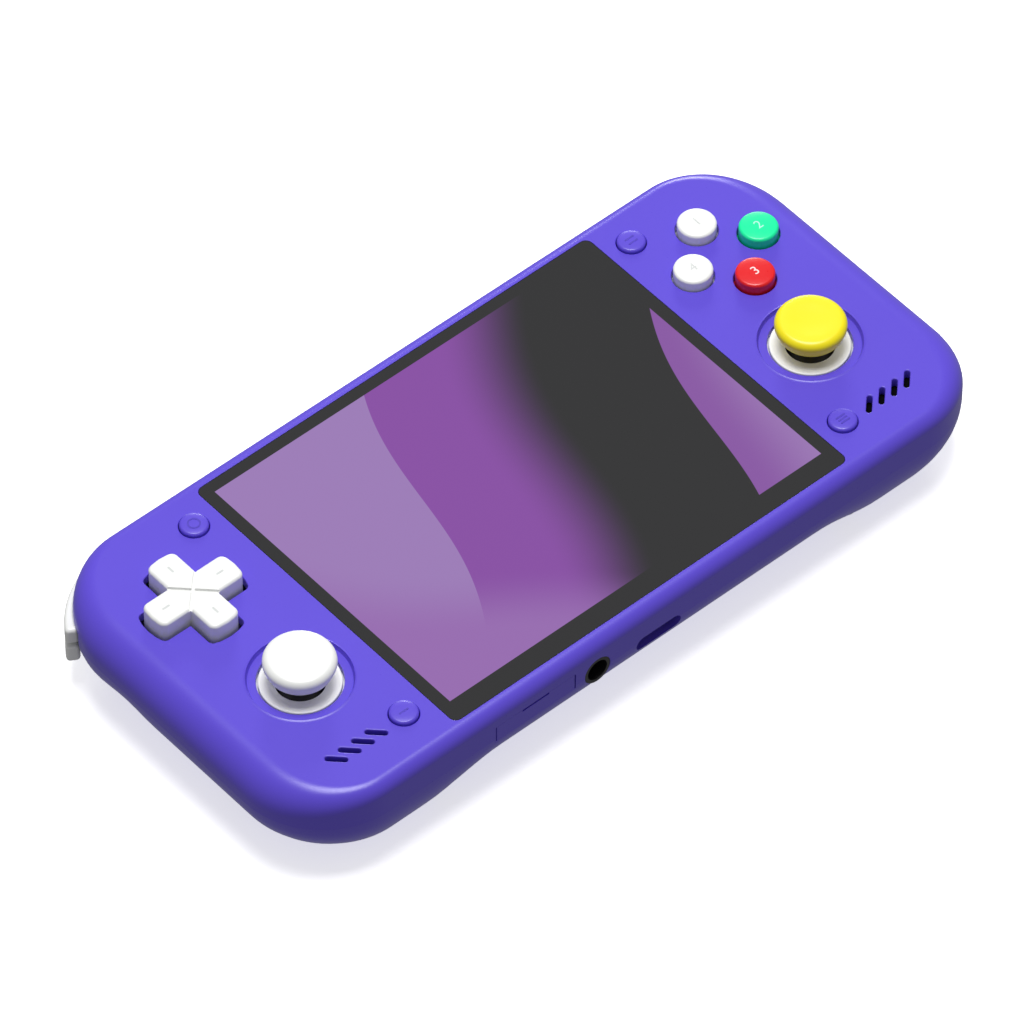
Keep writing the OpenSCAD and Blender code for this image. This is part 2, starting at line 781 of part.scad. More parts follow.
housing_l = 14;
housing_wall = 0.8;
housing_hole_r = 4.7;
carriage_gap = 0.2;
carriage_wall = 1.4;
carriage_half_h = 1.7;
yoke_wall = 1.3;
yoke_half_h = 1.2;
trunnion_r = 0.8;
hub_r = 2.2;
hub_pin_r = 0.7;
neck_r = 1.75;
boot_r = 4.55;
boot_t = 0.5;
boot_a = 56;
housing_in = housing_l - 2 * housing_wall;
carriage_l = housing_in - 2 * carriage_gap;
yoke_r = carriage_l / 2 - carriage_wall - free_gap;
yoke_hole_r = yoke_r - yoke_wall;
housing_top_z = pivot_z + carriage_half_h + slide_gap / 2 + housing_wall;
housing_floor_z = pivot_z - hub_r - stick_press - free_gap;
cap_top_z = face_z + cap_rise;
cap_mid_z = cap_top_z - cap_edge;
// Underside of the cap: where it starts, and where it meets the rounded edge
cap_lift = 6.6;
cap_low_z = pivot_z + cap_lift;
cap_low_r = 2.4;
cap_under_a = 44;
cap_dish = 0.2;
cap_dish_r = 40;
shaft_top_z = cap_mid_z;

module at_stick(s) {
  translate([s * stick_x, stick_y, 0]) children();
}

module stick_cap(s, paint) {
  edge_x = cap_r - cap_edge;
  socket_z = cap_low_z - over;
  color(paint) at_stick(s) difference() {
    rotate_extrude() {
      polygon([[0, cap_low_z], [cap_low_r, cap_low_z],
        [edge_x + cap_edge * cos(cap_under_a), cap_mid_z - cap_edge * sin(cap_under_a)],
        [edge_x, cap_top_z], [0, cap_top_z]]);
      translate([edge_x, cap_mid_z]) circle(cap_edge);
    }
    translate([0, 0, cap_top_z - cap_dish + cap_dish_r]) sphere(cap_dish_r, $fn = 200);
    translate([0, 0, socket_z]) cylinder(r = neck_r + run_gap, h = shaft_top_z + seat_gap - socket_z);
  }
}

module stick_shaft(s) {
  color(black) at_stick(s) {
    translate([0, 0, pivot_z]) cylinder(r = neck_r, h = shaft_top_z - pivot_z);
    translate([0, 0, pivot_z]) sphere(hub_r);
    translate([0, 0, pivot_z]) rotate([90, 0, 0])
      cylinder(r = hub_pin_r, h = 2 * (yoke_r - join), center = true);
    translate([0, 0, pivot_z]) difference() {
      intersection() {
        sphere(boot_r);
        cylinder(r1 = 0, r2 = 2 * boot_r * tan(boot_a), h = 2 * boot_r);
      }
      sphere(boot_r - boot_t);
    }
  }
}

module stick_yoke(s) {
  color(steel) at_stick(s) translate([0, 0, pivot_z]) difference() {
    union() {
      translate([0, 0, -yoke_half_h]) cylinder(r = yoke_r, h = 2 * yoke_half_h);
      rotate([0, 90, 0]) cylinder(r = trunnion_r, h = carriage_l - join, center = true);
    }
    cylinder(r = yoke_hole_r, h = 4 * yoke_half_h, center = true);
    rotate([90, 0, 0]) cylinder(r = hub_pin_r + run_gap, h = 4 * yoke_r, center = true);
  }
}

module stick_carriage(s) {
  color(charcoal) at_stick(s) translate([0, 0, pivot_z]) difference() {
    block(carriage_l, carriage_l, -carriage_half_h, 2 * carriage_half_h);
    block(carriage_l - 2 * carriage_wall, carriage_l - 2 * carriage_wall, -carriage_half_h - over,
      2 * (carriage_half_h + over));
    rotate([0, 90, 0]) cylinder(r = trunnion_r + run_gap, h = 2 * carriage_l, center = true);
  }
}

module stick_housing(s) {
  low_z = housing_floor_z - housing_wall;
  color(steel) at_stick(s) difference() {
    block(housing_l, housing_l, low_z, housing_top_z - low_z);
    block(housing_in, housing_in, housing_floor_z, housing_top_z - housing_wall - housing_floor_z);
    translate([0, 0, housing_top_z - housing_wall - over])
      cylinder(r = housing_hole_r, h = 2 * over + housing_wall);
  }
}

module stick_ring(s) {
  top_z = face_z - ring_drop;
  color(white) at_stick(s) difference() {
    union() {
      translate([0, 0, housing_top_z]) cylinder(r = ring_flange_r, h = ceiling_z - slide_gap - housing_top_z);
      translate([0, 0, housing_top_z]) cylinder(r = ring_r, h = top_z - housing_top_z);
    }
    translate([0, 0, housing_top_z - over]) cylinder(r = ring_hole_r, h = top_z - housing_top_z + 2 * over);
    translate([0, 0, housing_top_z])
      cylinder(r1 = housing_hole_r, r2 = ring_hole_r, h = (top_z - housing_top_z) / 2);
  }
}

// Shoulder buttons: a curved skin with a pad behind it, on a hinge pin at its inner end

// Wedge between two angles from the centre of curvature
module wedge(a0, a1) {
  far = 3 * shoulder_r;
  polygon([[0, 0], far * [cos(a0), sin(a0)], far * [cos((a0 + a1) / 2), sin((a0 + a1) / 2)],
    far * [cos(a1), sin(a1)]]);
}

module arc_band(r0, r1, a0, a1) {
  intersection() {
    difference() {
      circle(r1, $fn = 128);
      circle(r0, $fn = 128);
    }
    wedge(a0, a1);
  }
}

module shoulder_key(s, z, h) {
  skin_r = shoulder_r - shoulder_t;
  reach = shoulder_at[1] + skin_r - hinge_at[1] + shoulder_t / 2;
  color(white) on_side(s) difference() {
    union() {
      translate([shoulder_at[0], shoulder_at[1], z]) linear_extrude(h) {
        arc_band(skin_r, shoulder_r, shoulder_a0, shoulder_a1);
        arc_band(skin_r - pad_in, skin_r + join, pad_a0, pad_a1);
      }
      translate([hinge_at[0], hinge_at[1], z]) cylinder(r = hinge_r, h = h);
      translate([hinge_at[0] - hinge_r, hinge_at[1], z]) cube([hinge_r, reach, h]);
    }
    translate([hinge_at[0], hinge_at[1], z - over]) cylinder(r = hinge_bore_r, h = h + 2 * over);
  }
}

module shoulder_pin(s) {
  color(steel) on_side(s) translate([hinge_at[0], hinge_at[1], hinge_low_z])
    cylinder(r = pin_r, h = ceiling_z + hinge_seat - seat_gap - hinge_low_z);
}

// Switch that is pushed from +X, with its tip above the origin
push_depth = 2.6;
push_h = 1.6;
push_tip = 0.5;

module push_switch(h = push_h) {
  translate([-push_depth, -switch_l / 2, 0]) cube([push_depth - push_tip, switch_l, h]);
  translate([-push_depth, -switch_cap_r, 0]) cube([push_depth, 2 * switch_cap_r, h - slide_gap]);
}

// Height of the switch under the board, which reaches down to the middle of the trigger
deep_push_h = board_low_z - trigger_z - trigger_h / 2;

// Switches on both faces of the board, in front of each pad
module shoulder_switch(z, h, room) {
  translate([shoulder_at[0], shoulder_at[1], z]) rotate([0, 0, switch_a]) translate([pad_r - room, 0, 0])
    push_switch(h);
}

module shoulder_switches() {
  color(steel) for (s = [-1, 1]) {
    on_side(s) {
      shoulder_switch(board_z, push_h, bumper_room);
      shoulder_switch(board_low_z - deep_push_h, deep_push_h, trigger_room);
    }
  }
}

// Edge keys

key_flange = 0.5;
key_in = 0.7;
key_travel = 0.3;
// Room behind the wall for the flange of the power key, and for that of the rocker, which tilts
power_room = slide_gap;
volume_room = 0.35;
key_back_y = room_w - volume_room - key_in;
// Edge of the board behind the keys, and what stands on the board there
key_board_y = key_back_y - 2 * free_gap;
volume_pin_r = 0.6;
volume_lug_r = 2 * volume_pin_r;
volume_pin_y = key_board_y - volume_lug_r;
power_switch_y = room_w - power_room - key_in - key_travel - seat_gap;
volume_switch_y = key_back_y - free_gap;

// Cap that shows in the wall, with a flange behind it
module edge_key(x, l, flange_y) {
  translate([x - l / 2, flange_y, key_z - key_h / 2]) cube([l, half_w + key_proud - flange_y, key_h]);
  translate([x - l / 2 - key_flange, flange_y, key_z - key_h / 2]) cube([l + 2 * key_flange, key_in, key_h]);
}

module power_key() {
  color(purple) edge_key(power_x, power_l, room_w - power_room - key_in);
}

module volume_rocker() {
  lug_z = board_z + slide_gap;
  lug_h = key_z + key_h / 2 - lug_z;
  color(purple) difference() {
    union() {
      edge_key(volume_x, volume_l, key_back_y);
      translate([volume_x, volume_pin_y, lug_z]) cylinder(r = volume_lug_r, h = lug_h);
      translate([volume_x - volume_lug_r, volume_pin_y, lug_z])
        cube([2 * volume_lug_r, room_w - volume_room - volume_pin_y, lug_h]);
    }
    translate([volume_x, volume_pin_y, lug_z - over])
      cylinder(r = volume_pin_r + run_gap, h = lug_h + 2 * over);
  }
}

// Pin of the rocker, standing in the board
module volume_pin() {
  color(steel) translate([volume_x, volume_pin_y, board_low_z])
    cylinder(r = volume_pin_r, h = key_z + key_h / 2 - board_low_z);
}

module edge_switch(x, y) {
  translate([x, y, board_z]) rotate([0, 0, 90]) push_switch();
}

module edge_switches() {
  color(steel) {
    edge_switch(power_x, power_switch_y);
    for (s = [-1, 1]) {
      edge_switch(volume_x + s * volume_l / 3, volume_switch_y);
    }
  }
}

// Ports

nail_groove = 0.4;

module card_cover() {
  y0 = -half_w;
  color(purple) difference() {
    union() {
      translate([card_x - card_w / 2, y0, cover_hinge_z]) cube([card_w, cover_t, card_h - cover_axis]);
      translate([card_x - card_w / 2, cover_hinge_y, cover_hinge_z - cover_axis])
        cube([card_w, cover_t - cover_axis, cover_axis + join]);
      translate([card_x, cover_hinge_y, cover_hinge_z]) rotate([0, 90, 0]) {
        cylinder(r = cover_axis, h = card_w, center = true);
        cylinder(r = cover_pin_r, h = card_w + 2 * cover_pin_l, center = true);
      }
    }
    // Groove for a nail, along the upper outer edge
    translate([card_x - card_w / 4, y0 - over, card_z + card_h / 2 - nail_groove])
      cube([card_w / 2, over + nail_groove, over]);
  }
}

card_reader_l = 14;
card_reader_d = 14;
card_reader_h = 1.6;
card_slot_l = 11.4;
card_slot_h = 0.9;

module card_reader() {
  y0 = -room_w + free_gap;
  color(steel) difference() {
    translate([card_x - card_reader_l / 2, y0, board_z]) cube([card_reader_l, card_reader_d, card_reader_h]);
    translate([card_x - card_slot_l / 2, y0 - over, board_z + (card_reader_h - card_slot_h) / 2])
      cube([card_slot_l, card_reader_d, card_slot_h]);
  }
}

usb_depth = 7.3;
usb_tongue_l = 6.7;
usb_tongue_h = 0.7;

module usb_port() {
  y0 = -room_w + seat_gap;
  y1 = y0 + usb_depth;
  color(steel) {
    difference() {
      along_y(usb_x, usb_z, y0, y1) stadium(usb_shell_l, usb_shell_h);
      along_y(usb_x, usb_z, y0 - over, y1 - over) stadium(usb_mouth_l, usb_mouth_h);
    }
    translate([usb_x - usb_tongue_l / 2, y0 + over, usb_z - usb_tongue_h / 2])
      cube([usb_tongue_l, usb_depth - over - join, usb_tongue_h]);
  }
}

module headphone_jack() {
  y0 = -half_w + seat_gap;
  color(black) difference() {
    union() {
      along_y(jack_x, jack_z, y0, -room_w + over) circle(jack_nose_r);
      along_y(jack_x, jack_z, -room_w + slide_gap, y0 + jack_l + wall)
        square([jack_body_l, jack_body_h], center = true);
    }
    along_y(jack_x, jack_z, y0 - over, y0 + jack_l) circle(jack_r);
  }
}

// Inside

module main_board() {
  edge = wall + free_gap;
  color(laminate) translate([0, 0, board_low_z]) linear_extrude(board_t) difference() {
    round_rect(body_l - 2 * edge, body_w - 2 * edge, corner_r - edge);
    for (s = [-1, 1]) {
      mirror([s > 0 ? 1 : 0, 0]) {
        difference() {
          translate([-body_l, shoulder_at[1]])
            square([body_l + hinge_at[0] + hinge_r + slide_gap, body_w]);
          translate(shoulder_at) circle(board_corner_r);
        }
        translate(hinge_at) circle(hinge_r + slide_gap);
        translate([-stick_x, stick_y]) square(housing_l + 2 * slide_gap, center = true);
      }
    }
    for (p = posts) {
      translate(p) circle(screw_r + slide_gap);
    }
    translate([usb_x - usb_shell_l / 2 - slide_gap, -body_w])
      square([usb_shell_l + 2 * slide_gap, body_w - room_w + usb_depth + slide_gap]);
    translate([jack_x - jack_body_l / 2 - slide_gap, -body_w])
      square([jack_body_l + 2 * slide_gap, half_w + jack_l + wall + free_gap]);
    translate([card_x - card_w / 2 - free_gap, -body_w])
      square([card_w + 2 * free_gap, body_w - room_w + over]);
    for (k = [[power_x, power_l], [volume_x, volume_l]]) {
      translate([k[0] - k[1] / 2 - over, key_board_y]) square([k[1] + 2 * over, body_w]);
    }
    translate([volume_x, volume_pin_y]) circle(volume_pin_r + run_gap);
  }
}

can_l = 30;
can_w = 24;
can_h = 1.5;
can_wall = 0.3;
can_at = [8, 6];

module shield_can() {
  color(steel) translate([can_at[0], can_at[1], 0]) difference() {
    block(can_l, can_w, board_z, can_h);
    block(can_l - 2 * can_wall, can_w - 2 * can_wall, board_z - over, can_h - can_wall + over);
  }
}

// Film that spreads the can's heat, larger than the can by so much in X and Y
spread_x = 16;
spread_y = 4;
spread_t = 0.4;
// Corner radius of the film, the battery and the speakers
soft_corner = 2;

module heat_spreader() {
  color(charcoal) translate([can_at[0], can_at[1], 0])
    plate(can_l + spread_x, can_w + spread_y, soft_corner, board_z + can_h, spread_t);
}

// The battery lies on the flat of the floor, between the headphone jack and the rounding
battery_l = glass_w - 2 * battery_end_room;
battery_low_y = -half_w + seat_gap + jack_l + wall + battery_jack_room;
battery_top_y = half_w - round_in;

module battery() {
  color(black) translate([0, (battery_low_y + battery_top_y) / 2, 0])
    plate(battery_l, battery_top_y - battery_low_y, soft_corner, floor_z + 2 * seat_gap, battery_t);
}

// A speaker fills the room between the stick's housing and the wall, which bends round the corner
speaker_l = 12.4;
speaker_room = 0.5;
speaker_wall_room = 2.45;
speaker_top_y = stick_y - housing_l / 2 - speaker_room;
speaker_low_y = -room_w + speaker_wall_room;

module speaker(s) {
  color(black) translate([s * (slots_x + slide_gap), (speaker_top_y + speaker_low_y) / 2, 0])
    plate(speaker_l, speaker_top_y - speaker_low_y, soft_corner, board_z, ceiling_z - slide_gap - board_z);
}

front_shell();
rear_shell();
screen_glass();
glass_tape();
display_panel();
display_ribbon();
dpad();
dpad_pivot();
dpad_membrane();
face_button(90, white);  // face_button_top
face_button(180, white);  // face_button_left
face_button(0, green);  // face_button_right
face_button(270, red);  // face_button_bottom
face_button_membrane();
menu_button(-menu_x, menu_top_y);  // menu_button_upper_left
menu_button(menu_x, menu_top_y);  // menu_button_upper_right
menu_button(-menu_x, menu_low_y);  // menu_button_lower_left
menu_button(menu_x, menu_low_y);  // menu_button_lower_right
menu_switches();
stick_cap(-1, white);  // left_stick_cap
stick_shaft(-1);  // left_stick_shaft
stick_yoke(-1);  // left_stick_yoke
stick_carriage(-1);  // left_stick_carriage
stick_housing(-1);  // left_stick_housing
stick_ring(-1);  // left_stick_ring
stick_cap(1, yellow);  // right_stick_cap
stick_shaft(1);  // right_stick_shaft
stick_yoke(1);  // right_stick_yoke
stick_carriage(1);  // right_stick_carriage
stick_housing(1);  // right_stick_housing
stick_ring(1);  // right_stick_ring
shoulder_key(-1, bumper_z, bumper_h);  // left_bumper
shoulder_key(-1, trigger_z, trigger_h);  // left_trigger
shoulder_pin(-1);  // left_shoulder_pin
shoulder_key(1, bumper_z, bumper_h);  // right_bumper
shoulder_key(1, trigger_z, trigger_h);  // right_trigger
shoulder_pin(1);  // right_shoulder_pin
shoulder_switches();
power_key();
volume_rocker();
volume_pin();
edge_switches();
card_cover();
card_reader();
usb_port();
headphone_jack();
main_board();
shield_can();
heat_spreader();
battery();
speaker(-1);  // left_speaker
speaker(1);  // right_speaker
case_screws();
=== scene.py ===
# %% [markdown]
# # A handheld game console
#
# The CAD model of this console already has every piece at its real size. This lesson gives it its looks: soft
# edges, moulded colours, a lit screen and studio light. Each step first says what the piece is on the real
# console, then models it over its CAD solid, which it replaces, so that it moves with the same joint.

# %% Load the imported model
import json
import math

import bpy
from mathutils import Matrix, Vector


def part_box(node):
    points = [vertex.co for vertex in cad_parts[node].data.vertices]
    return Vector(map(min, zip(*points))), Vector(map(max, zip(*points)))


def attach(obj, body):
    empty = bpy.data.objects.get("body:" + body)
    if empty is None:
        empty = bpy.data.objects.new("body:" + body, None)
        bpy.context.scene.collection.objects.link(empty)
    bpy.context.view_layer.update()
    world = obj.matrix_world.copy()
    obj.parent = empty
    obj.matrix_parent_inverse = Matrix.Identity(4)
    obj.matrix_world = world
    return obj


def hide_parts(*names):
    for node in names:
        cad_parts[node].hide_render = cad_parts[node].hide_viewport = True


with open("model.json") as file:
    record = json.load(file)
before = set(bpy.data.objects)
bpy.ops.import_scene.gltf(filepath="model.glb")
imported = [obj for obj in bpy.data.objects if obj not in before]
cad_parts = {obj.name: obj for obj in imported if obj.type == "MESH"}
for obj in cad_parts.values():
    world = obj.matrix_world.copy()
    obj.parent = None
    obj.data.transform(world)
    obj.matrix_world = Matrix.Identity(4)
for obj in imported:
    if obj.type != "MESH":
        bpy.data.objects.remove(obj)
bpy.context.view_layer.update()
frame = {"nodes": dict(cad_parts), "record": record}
MM = 0.001

# %% [markdown]
# ## Camera and light
#
# The picture was taken from the front left, half from above, with a long lens, so that edges run almost
# parallel. A long lens far away gives the same look. The light is one soft box overhead, as over a product table:
# tops are bright, sides fall off, and edges that lean to the viewer catch a highlight. A low strip behind the
# console draws thin lines on rims that face away, and an even grey world fills the shadows.

# %% Camera
VIEW_TURN = 40.998
VIEW_RISE = 49.302
VIEW_DISTANCE = 1.4284
LENS = 350.5
FACE_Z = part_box("front_shell")[1].z
AIM = (0.00145, 0.005264)

tilt, turn = math.radians(90 - VIEW_RISE), math.radians(-VIEW_TURN)
right = (math.cos(turn), math.sin(turn), 0)
back = (math.sin(tilt) * math.sin(turn), -math.sin(tilt) * math.cos(turn), math.cos(tilt))
up = (back[1] * right[2] - back[2] * right[1], back[2] * right[0] - back[0] * right[2],
      back[0] * right[1] - back[1] * right[0])
place = [VIEW_DISTANCE * b - AIM[0] * r - AIM[1] * u for b, r, u in zip(back, right, up)]
bpy.ops.object.camera_add(location=(place[0], place[1], place[2] + FACE_Z), rotation=(tilt, 0, turn))
camera = bpy.context.object
camera.data.lens = LENS
camera.data.clip_start = 0.05
bpy.context.scene.camera = camera
bpy.context.scene.view_settings.view_transform = "Standard"
print("camera", [round(v, 3) for v in camera.location])

# %% Lights
world = bpy.data.worlds.new("studio")
bpy.context.scene.world = world
world.use_nodes = True
world.node_tree.nodes["Background"].inputs["Color"].default_value = (1, 1, 1, 1)
world.node_tree.nodes["Background"].inputs["Strength"].default_value = 0.29


def soft_box(name, place, aim, size, power):
    """A square area light that looks at a point."""
    bpy.ops.object.light_add(type="AREA", location=place)
    lamp = bpy.context.object
    lamp.name = name
    lamp.data.size = size
    lamp.data.energy = power
    across, along, down = (b - a for a, b in zip(place, aim))
    lamp.rotation_euler = (math.atan2(math.hypot(across, along), -down), 0, math.atan2(-across, along))
    return lamp


soft_box("overhead_box", (0.04, 0.07, 0.9), (0, 0, 0), 0.42, 7.3)
soft_box("back_strip", (0.6, 0.69, 0.3), (0, 0, 0.02), 0.25, 2.6)

# %% [markdown]
# ## Colours and finishes
#
# Nearly everything in view is moulded ABS. Its mould is spark-eroded to a fine matt, which spreads the highlight.
# The keys come from a smoother mould and shine a little more. One small function adds a shader node, and one turns
# a given sRGB colour to the linear colour that the shader wants.

# %% Node and colour helpers


def linear(code):
    """The linear colour of an sRGB hex code."""
    channels = [int(code[i:i + 2], 16) / 255 for i in (1, 3, 5)]
    return [c / 12.92 if c <= 0.04045 else ((c + 0.055) / 1.055) ** 2.4 for c in channels] + [1]


def add_node(tree, kind, inputs=(), **settings):
    """Adds a node, with its settings, and its inputs as values or links."""
    made = tree.nodes.new(kind)
    for key, value in settings.items():
        setattr(made, key, value)
    for key, value in dict(inputs).items():
        if isinstance(value, bpy.types.NodeSocket):
            tree.links.new(value, made.inputs[key])
        else:
            made.inputs[key].default_value = value
    return made


def new_finish(name):
    """An empty material with a surface shader: material, tree, shader and Object coordinates."""
    finish = bpy.data.materials.new(name)
    finish.use_nodes = True
    tree = finish.node_tree
    coords = add_node(tree, "ShaderNodeTexCoord").outputs["Object"]
    return finish, tree, tree.nodes["Principled BSDF"], coords


print("purple in linear light:", [round(c, 3) for c in linear("#6B5AE2")[:3]])

# %% Moulded plastics


def moulded_plastic(name, colour, shade, roughness, grain, depth, gloss=0.5):
    """ABS from a steel mould: an even colour that drifts a little to a shade, and a fine matt of the given grain."""
    finish, tree, shader, coords = new_finish(name)
    drift = add_node(tree, "ShaderNodeTexNoise", {"Vector": coords, "Scale": 1 / (18 * MM), "Detail": 2})
    blend = add_node(tree, "ShaderNodeMix", {"Factor": drift.outputs["Fac"]}, data_type="RGBA")
    blend.inputs["A"].default_value = linear(colour)
    blend.inputs["B"].default_value = linear(shade)
    tree.links.new(blend.outputs["Result"], shader.inputs["Base Color"])
    matt = add_node(tree, "ShaderNodeTexNoise", {"Vector": coords, "Scale": 1 / (grain * MM), "Detail": 3})
    rough = add_node(tree, "ShaderNodeMapRange", {
        "Value": matt.outputs["Fac"], "To Min": roughness - 0.06, "To Max": roughness + 0.06})
    tree.links.new(rough.outputs["Result"], shader.inputs["Roughness"])
    bump = add_node(tree, "ShaderNodeBump", {
        "Height": matt.outputs["Fac"], "Strength": 0.6, "Distance": depth * MM})
    tree.links.new(bump.outputs["Normal"], shader.inputs["Normal"])
    shader.inputs["IOR"].default_value = 1.54
    shader.inputs["Specular IOR Level"].default_value = gloss
    return finish


# The real grain is about 0.05 mm. It is drawn as 0.3 mm on the case, which is as fine as the picture can show.
case_abs = moulded_plastic("matt purple ABS", "#5A47CC", "#5E4BD0", 0.3, 0.3, 0.008, 0.4)
mark_print = moulded_plastic("purple pad print", "#4A39B4", "#4E3DB8", 0.5, 0.3, 0.008, 0.25)
white_abs = moulded_plastic("white ABS", "#EBECEA", "#EEEFED", 0.32, 0.4, 0.003)
# The trim rings get a brighter white than the keys' white ABS: painted light that lifts the shade the caps cast on
# them.
ring_painted_white = moulded_plastic("white with painted light", "#FBFBFA", "#FDFDFC", 0.35, 0.4, 0.003)
green_abs = moulded_plastic("green ABS", "#00EC9C", "#04F0A2", 0.3, 0.4, 0.003)
red_abs = moulded_plastic("red ABS", "#DC0F17", "#E0141C", 0.3, 0.4, 0.003)
yellow_abs = moulded_plastic("yellow ABS", "#F3E20C", "#F5E612", 0.36, 0.4, 0.003)
grey_print = moulded_plastic("grey pad print", "#C9CCCB", "#CED1D0", 0.4, 0.4, 0.002)
pale_print = moulded_plastic("pale pad print", "#F6D9D9", "#F8DEDE", 0.4, 0.4, 0.002)
mint_print = moulded_plastic("mint pad print", "#A8F5D8", "#ADF7DC", 0.4, 0.4, 0.002)
black_pc = moulded_plastic("black polycarbonate", "#0B0B0D", "#101013", 0.45, 0.3, 0.005)
cloth = moulded_plastic("black speaker cloth", "#050507", "#0A0A0D", 0.9, 0.4, 0.05, 0.05)
print("plastics", [m.name for m in bpy.data.materials if m.name.endswith("ABS")])

# %% [markdown]
# ## Modelling hands
#
# A modeller adds a primitive, picks edges or faces, and bevels, insets or extrudes them. With no mouse, the picking
# is done by place: a test looks at the points of each edge or face. Round pieces are turned on a lathe: one point is
# extruded along half of the section and spun round the axis.

# %% Picking and cutting


def activate(piece):
    """Selects one object alone."""
    bpy.ops.object.select_all(action="DESELECT")
    piece.select_set(True)
    bpy.context.view_layer.objects.active = piece


def pick(piece, kind, test):
    """Goes to edit mode with those vertices, edges or faces selected whose points pass the test."""
    activate(piece)
    bpy.ops.object.mode_set(mode="EDIT")
    bpy.ops.mesh.select_mode(type=kind)
    bpy.ops.mesh.select_all(action="DESELECT")
    bpy.ops.object.mode_set(mode="OBJECT")
    mesh = piece.data
    for item in {"VERT": mesh.vertices, "EDGE": mesh.edges, "FACE": mesh.polygons}[kind]:
        corners = [item.index] if kind == "VERT" else item.vertices
        item.select = test([mesh.vertices[i].co for i in corners])
    bpy.ops.object.mode_set(mode="EDIT")


def round_edges(piece, radius, segments, test):
    """Bevels the edges that pass the test, and leaves edit mode."""
    pick(piece, "EDGE", test)
    bpy.ops.mesh.bevel(offset=radius * MM, segments=segments, affect="EDGES", clamp_overlap=False)
    bpy.ops.object.mode_set(mode="OBJECT")


def upright(points):
    return abs(points[0].z - points[1].z) > 0.05 * MM and abs(points[0].x - points[1].x) < 0.001 * MM


def block(low, high):
    """A cube stretched between two corners, which are given in mm."""
    bpy.ops.object.select_all(action="DESELECT")
    bpy.ops.mesh.primitive_cube_add(size=1, location=[(a + b) / 2 * MM for a, b in zip(low, high)])
    piece = bpy.context.object
    piece.scale = [(b - a) * MM for a, b in zip(low, high)]
    bpy.ops.object.transform_apply(location=True, rotation=True, scale=True)
    return piece


def plate(low, high, radius, segments=12):
    """A block whose upright edges are round."""
    piece = block(low, high)
    round_edges(piece, radius, segments, upright)
    return piece


def peg(centre, radius, low, high, sides=64):
    """An upright cylinder between two heights, in mm."""
    bpy.ops.object.select_all(action="DESELECT")
    bpy.ops.mesh.primitive_cylinder_add(vertices=sides, radius=radius * MM, depth=(high - low) * MM,
        location=(centre[0] * MM, centre[1] * MM, (low + high) / 2 * MM))
    piece = bpy.context.object
    bpy.ops.object.transform_apply(location=True, rotation=True, scale=True)
    return piece


def swing(piece, degrees, axis, centre):
    """Turns a piece about an axis through a point in mm, in its mesh."""
    activate(piece)
    bpy.context.scene.cursor.location = [c * MM for c in centre]
    bpy.ops.object.origin_set(type="ORIGIN_CURSOR")
    piece.rotation_euler["XYZ".index(axis)] = math.radians(degrees)
    bpy.ops.object.transform_apply(location=True, rotation=True, scale=True)
    return piece


def combine(piece, tool, how="DIFFERENCE"):
    """Cuts a tool out of a piece, or joins it on, and takes the tool away."""
    activate(piece)
    bpy.ops.object.modifier_add(type="BOOLEAN")
    step = piece.modifiers[-1]
    step.operation = how
    step.solver = "EXACT"
    step.object = tool
    bpy.ops.object.modifier_apply(modifier=step.name)
    bpy.data.objects.remove(tool)
    return piece


def join(piece, extra):
    """Makes two objects one, with both finishes."""
    activate(piece)
    extra.select_set(True)
    bpy.ops.object.join()
    return piece


# %% Lathe and finishing


def arc(x, z, radius, start, end, steps=8):
    """Points on an arc about (x, z), between two angles in degrees."""
    angles = [math.radians(start + (end - start) * i / steps) for i in range(steps + 1)]
    return [(x + radius * math.cos(a), z + radius * math.sin(a)) for a in angles]


def lathe(centre, section, sides=96):
    """Turns a section of (radius, height) points in mm about an upright axis through the centre."""
    bpy.ops.object.select_all(action="DESELECT")
    bpy.ops.mesh.primitive_plane_add(size=MM, location=(0, 0, 0))
    piece = bpy.context.object
    bpy.ops.object.mode_set(mode="EDIT")
    bpy.ops.mesh.select_mode(type="VERT")
    bpy.ops.mesh.select_all(action="SELECT")
    bpy.ops.mesh.merge(type="CENTER")
    start = section[0]
    bpy.ops.transform.translate(value=((centre[0] + start[0]) * MM, centre[1] * MM, start[1] * MM))
    for a, b in zip(section, section[1:]):
        bpy.ops.mesh.extrude_vertices_move(
            TRANSFORM_OT_translate={"value": ((b[0] - a[0]) * MM, 0, (b[1] - a[1]) * MM)})
    bpy.ops.mesh.select_all(action="SELECT")
    bpy.ops.mesh.spin(steps=sides, angle=2 * math.pi, center=(centre[0] * MM, centre[1] * MM, 0), axis=(0, 0, 1))
    bpy.ops.mesh.select_all(action="SELECT")
    bpy.ops.mesh.remove_doubles(threshold=0.002 * MM)
    bpy.ops.mesh.normals_make_consistent(inside=False)
    bpy.ops.object.mode_set(mode="OBJECT")
    return piece


def settle(piece, name, body, finish, nodes, angle=35):
    """Gives a finished piece its name, smooth shading, finish and body, in place of its CAD nodes."""
    activate(piece)
    bpy.ops.object.shade_smooth_by_angle(angle=math.radians(angle))
    bpy.ops.object.modifier_add(type="WEIGHTED_NORMAL")
    piece.modifiers[-1].keep_sharp = True
    bpy.ops.object.modifier_apply(modifier=piece.modifiers[-1].name)
    piece.name = name
    if not piece.data.materials:
        piece.data.materials.append(finish)
    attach(piece, body)
    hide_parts(*nodes)
    print(name, "rides", body, "with", len(piece.data.polygons), "faces")
    return piece


def middle(node):
    """Centre of a CAD node's box, in mm."""
    low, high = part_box(node)
    return [(a + b) / 2 / MM for a, b in zip(low, high)]


def top(node):
    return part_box(node)[1].z / MM


print("face of the case at", round(FACE_Z / MM, 2), "mm")

# %% Rings of edges


def ease(a, b, value):
    """0 below a, 1 above b, and a smooth step between them."""
    t = min(max((value - a) / (b - a), 0), 1)
    return t * t * (3 - 2 * t)


